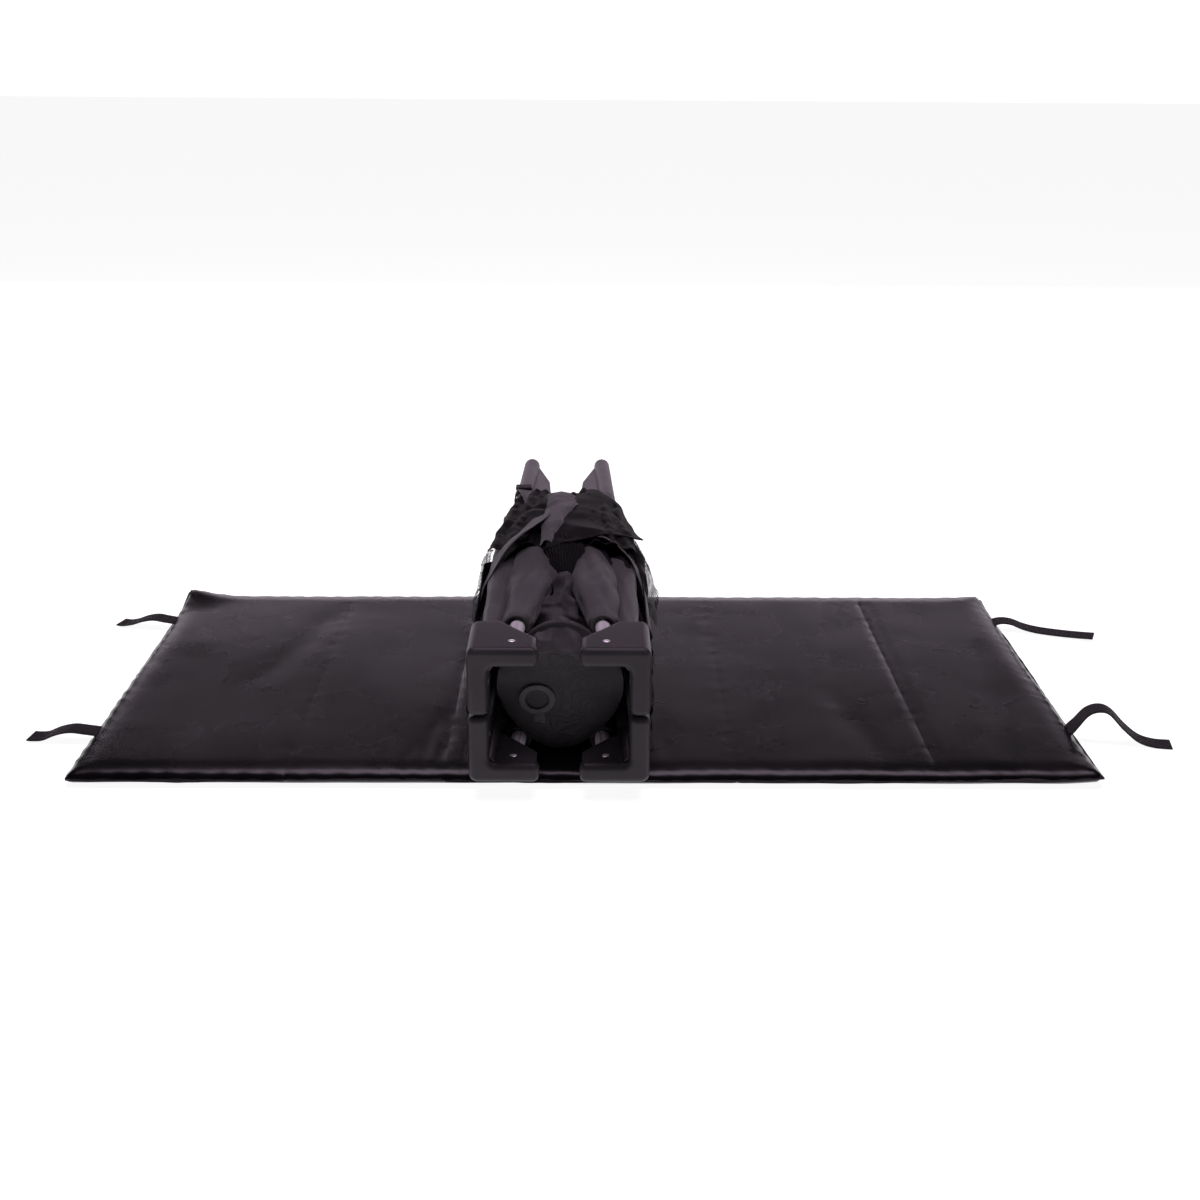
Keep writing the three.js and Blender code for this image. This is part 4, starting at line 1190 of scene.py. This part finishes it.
# %% Laps between the legs and the long rails
FAN_LEG = [(58, 284, 78), (76, 200, 80), (89, 90, 83), (95, 0, 83)]
FAN_RAIL = [(8, 250, 84), (10, 190, 90), (14, 90, 92), (18, 10, 88)]
LOW_LEG = [(64, 250, 52), (70, 100, 50), (74, -40, 48), (78, -180, 46)]
LOW_RAIL = [(8, 240, 56), (12, 100, 57), (16, -40, 57), (24, -180, 57)]


def add_wall_fans():
    columns, rows = 48, 60
    for count, (name, (sign_x, sign_z)) in enumerate(QUADRANTS.items()):
        upper = sign_z > 0
        leg, rail = (FAN_LEG, FAN_RAIL) if upper else (LOW_LEG, LOW_RAIL)
        bm = spread(
            mirror_line(leg, sign_x, sign_z), mirror_line(rail, sign_x, sign_z), columns, rows,
            bulge=8 if upper else 0, lift=(0, 0, sign_z), crumple=6 if upper else 3, scale=42,
            seed=11 + 2.3 * count, pleats=(3.5, 2.5),
        )
        piece = lay_cloth(f"wall_fan_{name}", bm, None, "wall_fabric")
        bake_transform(piece)


add_wall_fans()

# %% [markdown]
# On top lie the laps that were folded last: a dark flap over the right-hand leg with a pointed
# corner, a lap over the left-hand leg, the pale lining between them, and two narrow bands of the
# walls' edge binding that run down to the near corners. Net bulges out on both sides.

# %% Laps on top
TOP_LAPS = {
    "flap_right": {
        "first": [(-12, 266, 186), (-18, 205, 200), (-32, 140, 205), (-50, 50, 203), (-52, -12, 196)],
        "second": [(24, 262, 182), (50, 214, 180), (61, 150, 178), (70, 92, 178), (76, 58, 184)],
        "cells": (56, 64), "bulge": 10, "crumple": 5, "scale": 74, "seed": 2.0, "body": "corner_upper_right",
        "look": "wall_fabric", "thickness": 1.6},
    "lap_left": {
        "first": [(-90, 232, 180), (-108, 140, 178), (-123, 40, 168), (-127, -60, 152)],
        "second": [(-57, 212, 186), (-55, 140, 198), (-60, 70, 204), (-72, 34, 203)],
        "cells": (36, 48), "bulge": 8, "crumple": 5, "scale": 66, "seed": 5.0, "body": "corner_upper_left",
        "look": "wall_fabric", "thickness": 1.6},
    "lining_lap": {
        "first": [(-68, 248, 184), (-62, 170, 194), (-60, 80, 200), (-64, 10, 188)],
        "second": [(-8, 276, 182), (-10, 190, 198), (-30, 80, 203), (-44, 0, 190)],
        "cells": (34, 48), "bulge": 9, "crumple": 5, "scale": 34, "seed": 7.0, "body": "corner_upper_left",
        "look": "lining", "thickness": 1.2},
    "net_frill": {
        "first": [(-60, 40, 196), (-53, -20, 190), (-42, -66, 180)],
        "second": [(-4, 20, 196), (-3, -36, 190), (-16, -88, 178)],
        "cells": (60, 24), "bulge": 5, "crumple": 4, "scale": 30, "seed": 9.0, "body": "corner_upper_right",
        "look": "wall_fabric", "thickness": 0.9, "pleats": (11, 0.9)},
    "lap_right_under": {
        "first": [(-6, 40, 190), (8, 18, 186), (22, -14, 178), (34, -60, 166)],
        "second": [(60, 70, 176), (74, 26, 170), (78, -24, 160), (74, -84, 146)],
        "cells": (36, 36), "bulge": 6, "crumple": 6, "scale": 36, "seed": 12.0, "body": "corner_upper_right",
        "look": "wall_fabric", "thickness": 1.4, "pleats": (2.5, 4)},
    "net_right": {
        "first": [(56, 118, 174), (62, 60, 176), (66, 0, 170), (68, -60, 158), (70, -116, 142)],
        "second": [(68, 132, 146), (82, 74, 142), (91, 16, 134), (94, -34, 126), (88, -84, 114)],
        "cells": (22, 40), "bulge": 5, "crumple": 4, "scale": 40, "seed": 14.0, "body": "corner_upper_right",
        "look": "net", "thickness": 0.8},
    "net_left": {
        "first": [(-118, 124, 172), (-126, 56, 166), (-131, -14, 152), (-132, -60, 140)],
        "second": [(-138, 132, 146), (-145, 78, 134), (-148, 16, 120), (-147, -40, 106)],
        "cells": (22, 40), "bulge": 3, "crumple": 4, "scale": 40, "seed": 16.0, "body": "corner_upper_left",
        "look": "net", "thickness": 0.8},
}


def add_top_laps():
    for name, lap in TOP_LAPS.items():
        columns, rows = lap["cells"]
        bm = spread(
            lap["first"], lap["second"], columns, rows, bulge=lap["bulge"], crumple=lap["crumple"],
            scale=lap["scale"], seed=lap["seed"], pleats=lap.get("pleats"),
        )
        lay_cloth(name, bm, lap["body"], lap["look"], thickness=lap["thickness"])


BANDS = {
    "edge_band_left": ([(-138, -226, 112), (-140, -150, 128), (-134, -80, 156), (-116, -32, 186), (-94, 6, 204),
                        (-74, 50, 208), (-60, 96, 207)], 13, "corner_upper_left"),
    "edge_band_right": ([(-2, 34, 200), (26, 26, 198), (50, 0, 188), (66, -38, 174), (75, -100, 152),
                         (78, -170, 122), (78, -226, 100)], 9, "corner_upper_right"),
}


def add_bands():
    for name, (points, half, body) in BANDS.items():
        line = smooth_line(points, 10)
        across = []
        for place, point in enumerate(line):
            way = (line[min(place + 1, len(line) - 1)] - line[max(place - 1, 0)]).normalized()
            outwards = Vector((point.x - MIDDLE_X, 0, (point.z - MIDDLE_Z) * 0.8)).normalized()
            across.append(way.cross(outwards).normalized() * half)
        bm = ribbon(line, across, 1.6, 6)
        for vert in bm.verts:
            vert.co += rumple(vert.co, 2.0, 40, 3.3)
        to_metres(bm)
        piece = make_piece(name, bm, body, "sleeve_fabric")
        add_modifier(piece, "SUBSURF", levels=1, render_levels=1)


add_top_laps()
add_bands()

# %% [markdown]
# Inside, the floor's cloth gathers round its folded arms. It is lofted like the sleeves and rides on
# the hub; it is not squashed when the cot opens, though the real floor is then pulled out flat.

# %% Gathered floor cloth
FLOOR_SHEETS = {
    "floor_cloth_front": (
        [(-72, -246, 158), (-52, -240, 174), (-33, -236, 189), (-14, -240, 176), (3, -246, 156)],
        [(-60, -262, 149), (-46, -266, 155), (-31, -264, 152), (-16, -266, 146), (-3, -268, 136)],
        (12, 44), 5, 6, "sleeve_fabric"),
    "floor_cloth_under_laps": (
        [(-118, 290, 150), (-122, 150, 150), (-128, 0, 148), (-128, -120, 140)],
        [(54, 290, 150), (56, 150, 150), (60, 0, 148), (66, -120, 140)],
        (44, 60), 0, 4, "floor_fabric"),
}


def add_floor_cloth():
    rows = resample([(-196, 60, 52, 0, 0), (-150, 52, 50, 0, 2), (-80, 46, 52, -2, 4), (20, 42, 54, 0, 6),
                     (140, 36, 54, 0, 8), (236, 26, 44, 0, 8)], 9)
    stations = [((across, y, up), wide, tall) for y, wide, tall, across, up in rows]
    bm = loft(stations, 96, 0.42, seed=41)
    place_quadrant(bm, 1, 1)
    piece = make_piece("floor_cloth_gathered", bm, "hub", "floor_fabric")
    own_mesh(piece)
    columns, count = 40, 48
    bm = spread(
        [(-70, -232, 128), (-58, -190, 158), (-50, -140, 168), (-46, -50, 170)],
        [(10, -232, 128), (-4, -190, 156), (-14, -140, 168), (-20, -50, 170)],
        columns, count, bulge=7, crumple=15, scale=38, seed=19,
    )
    bm.verts.index_update()
    to_metres(bm)
    valley = make_piece("floor_cloth_valley", bm, "hub", "floor_fabric")
    add_modifier(valley, "SOLIDIFY", thickness=0.0014, offset=0)
    add_modifier(valley, "SUBSURF", levels=1, render_levels=1)
    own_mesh(valley)
    for name, (first, second, cells, bulge, crumple, look) in FLOOR_SHEETS.items():
        bm = spread(first, second, *cells, bulge=bulge, crumple=crumple, scale=30, seed=23)
        bm.verts.index_update()
        to_metres(bm)
        sheet = make_piece(name, bm, "hub", "floor_fabric", look=look)
        add_modifier(sheet, "SOLIDIFY", thickness=0.0014, offset=0)
        add_modifier(sheet, "SUBSURF", levels=1, render_levels=1)
        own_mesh(sheet)


add_floor_cloth()

# %% [markdown]
# A webbing keeper with a small buckle holds the walls to the left-hand foot. The strap is a band bent
# round the leg; the buckle is a cube that is inset, pushed in and bevelled.

# %% Keeper strap and buckle
def add_keeper():
    centre = on_leg(296)
    middle = Vector((MIDDLE_X - centre.x, 296, MIDDLE_Z + centre.z))
    points, across = [], []
    for step in range(41):
        around = math.tau * step / 40
        points.append(middle + 14.6 * Vector((math.cos(around), 0, math.sin(around))))
        across.append(Vector((0, 9, 2 * math.sin(around))))
    bm = ribbon(points, across, 1.6, 4)
    bmesh.ops.remove_doubles(bm, verts=bm.verts, dist=0.05)
    bmesh.ops.recalc_face_normals(bm, faces=bm.faces)
    to_metres(bm)
    make_piece("keeper_strap", bm, "corner_upper_left", "webbing")
    tail = smooth_line([middle + Vector(step) for step in (
        (0, -6, 16), (4, -30, 20), (10, -62, 22), (16, -96, 20))], 8)
    bm = ribbon(tail, [Vector((10, 2, -2))] * len(tail), 1.6, 4)
    to_metres(bm)
    make_piece("keeper_tail", bm, "corner_upper_left", "webbing", look="lining")
    bm = box_cutter((-12, -8, -2.5), (12, 8, 2.5))
    top = [face for face in bm.faces if face.normal.z > 0.9]
    bmesh.ops.inset_region(bm, faces=top, thickness=3, use_even_offset=True)
    bmesh.ops.translate(bm, vec=(0, 0, -1.6), verts=list({v for face in top for v in face.verts}))
    bmesh.ops.bevel(bm, geom=bm.edges[:], offset=0.8, segments=3, profile=0.5, affect="EDGES", material=-1)
    bmesh.ops.translate(bm, vec=middle + Vector((0, -4, 18.6)), verts=bm.verts)
    to_metres(bm)
    make_piece("keeper_buckle", bm, "corner_upper_left", "casting", look="latch")


add_keeper()
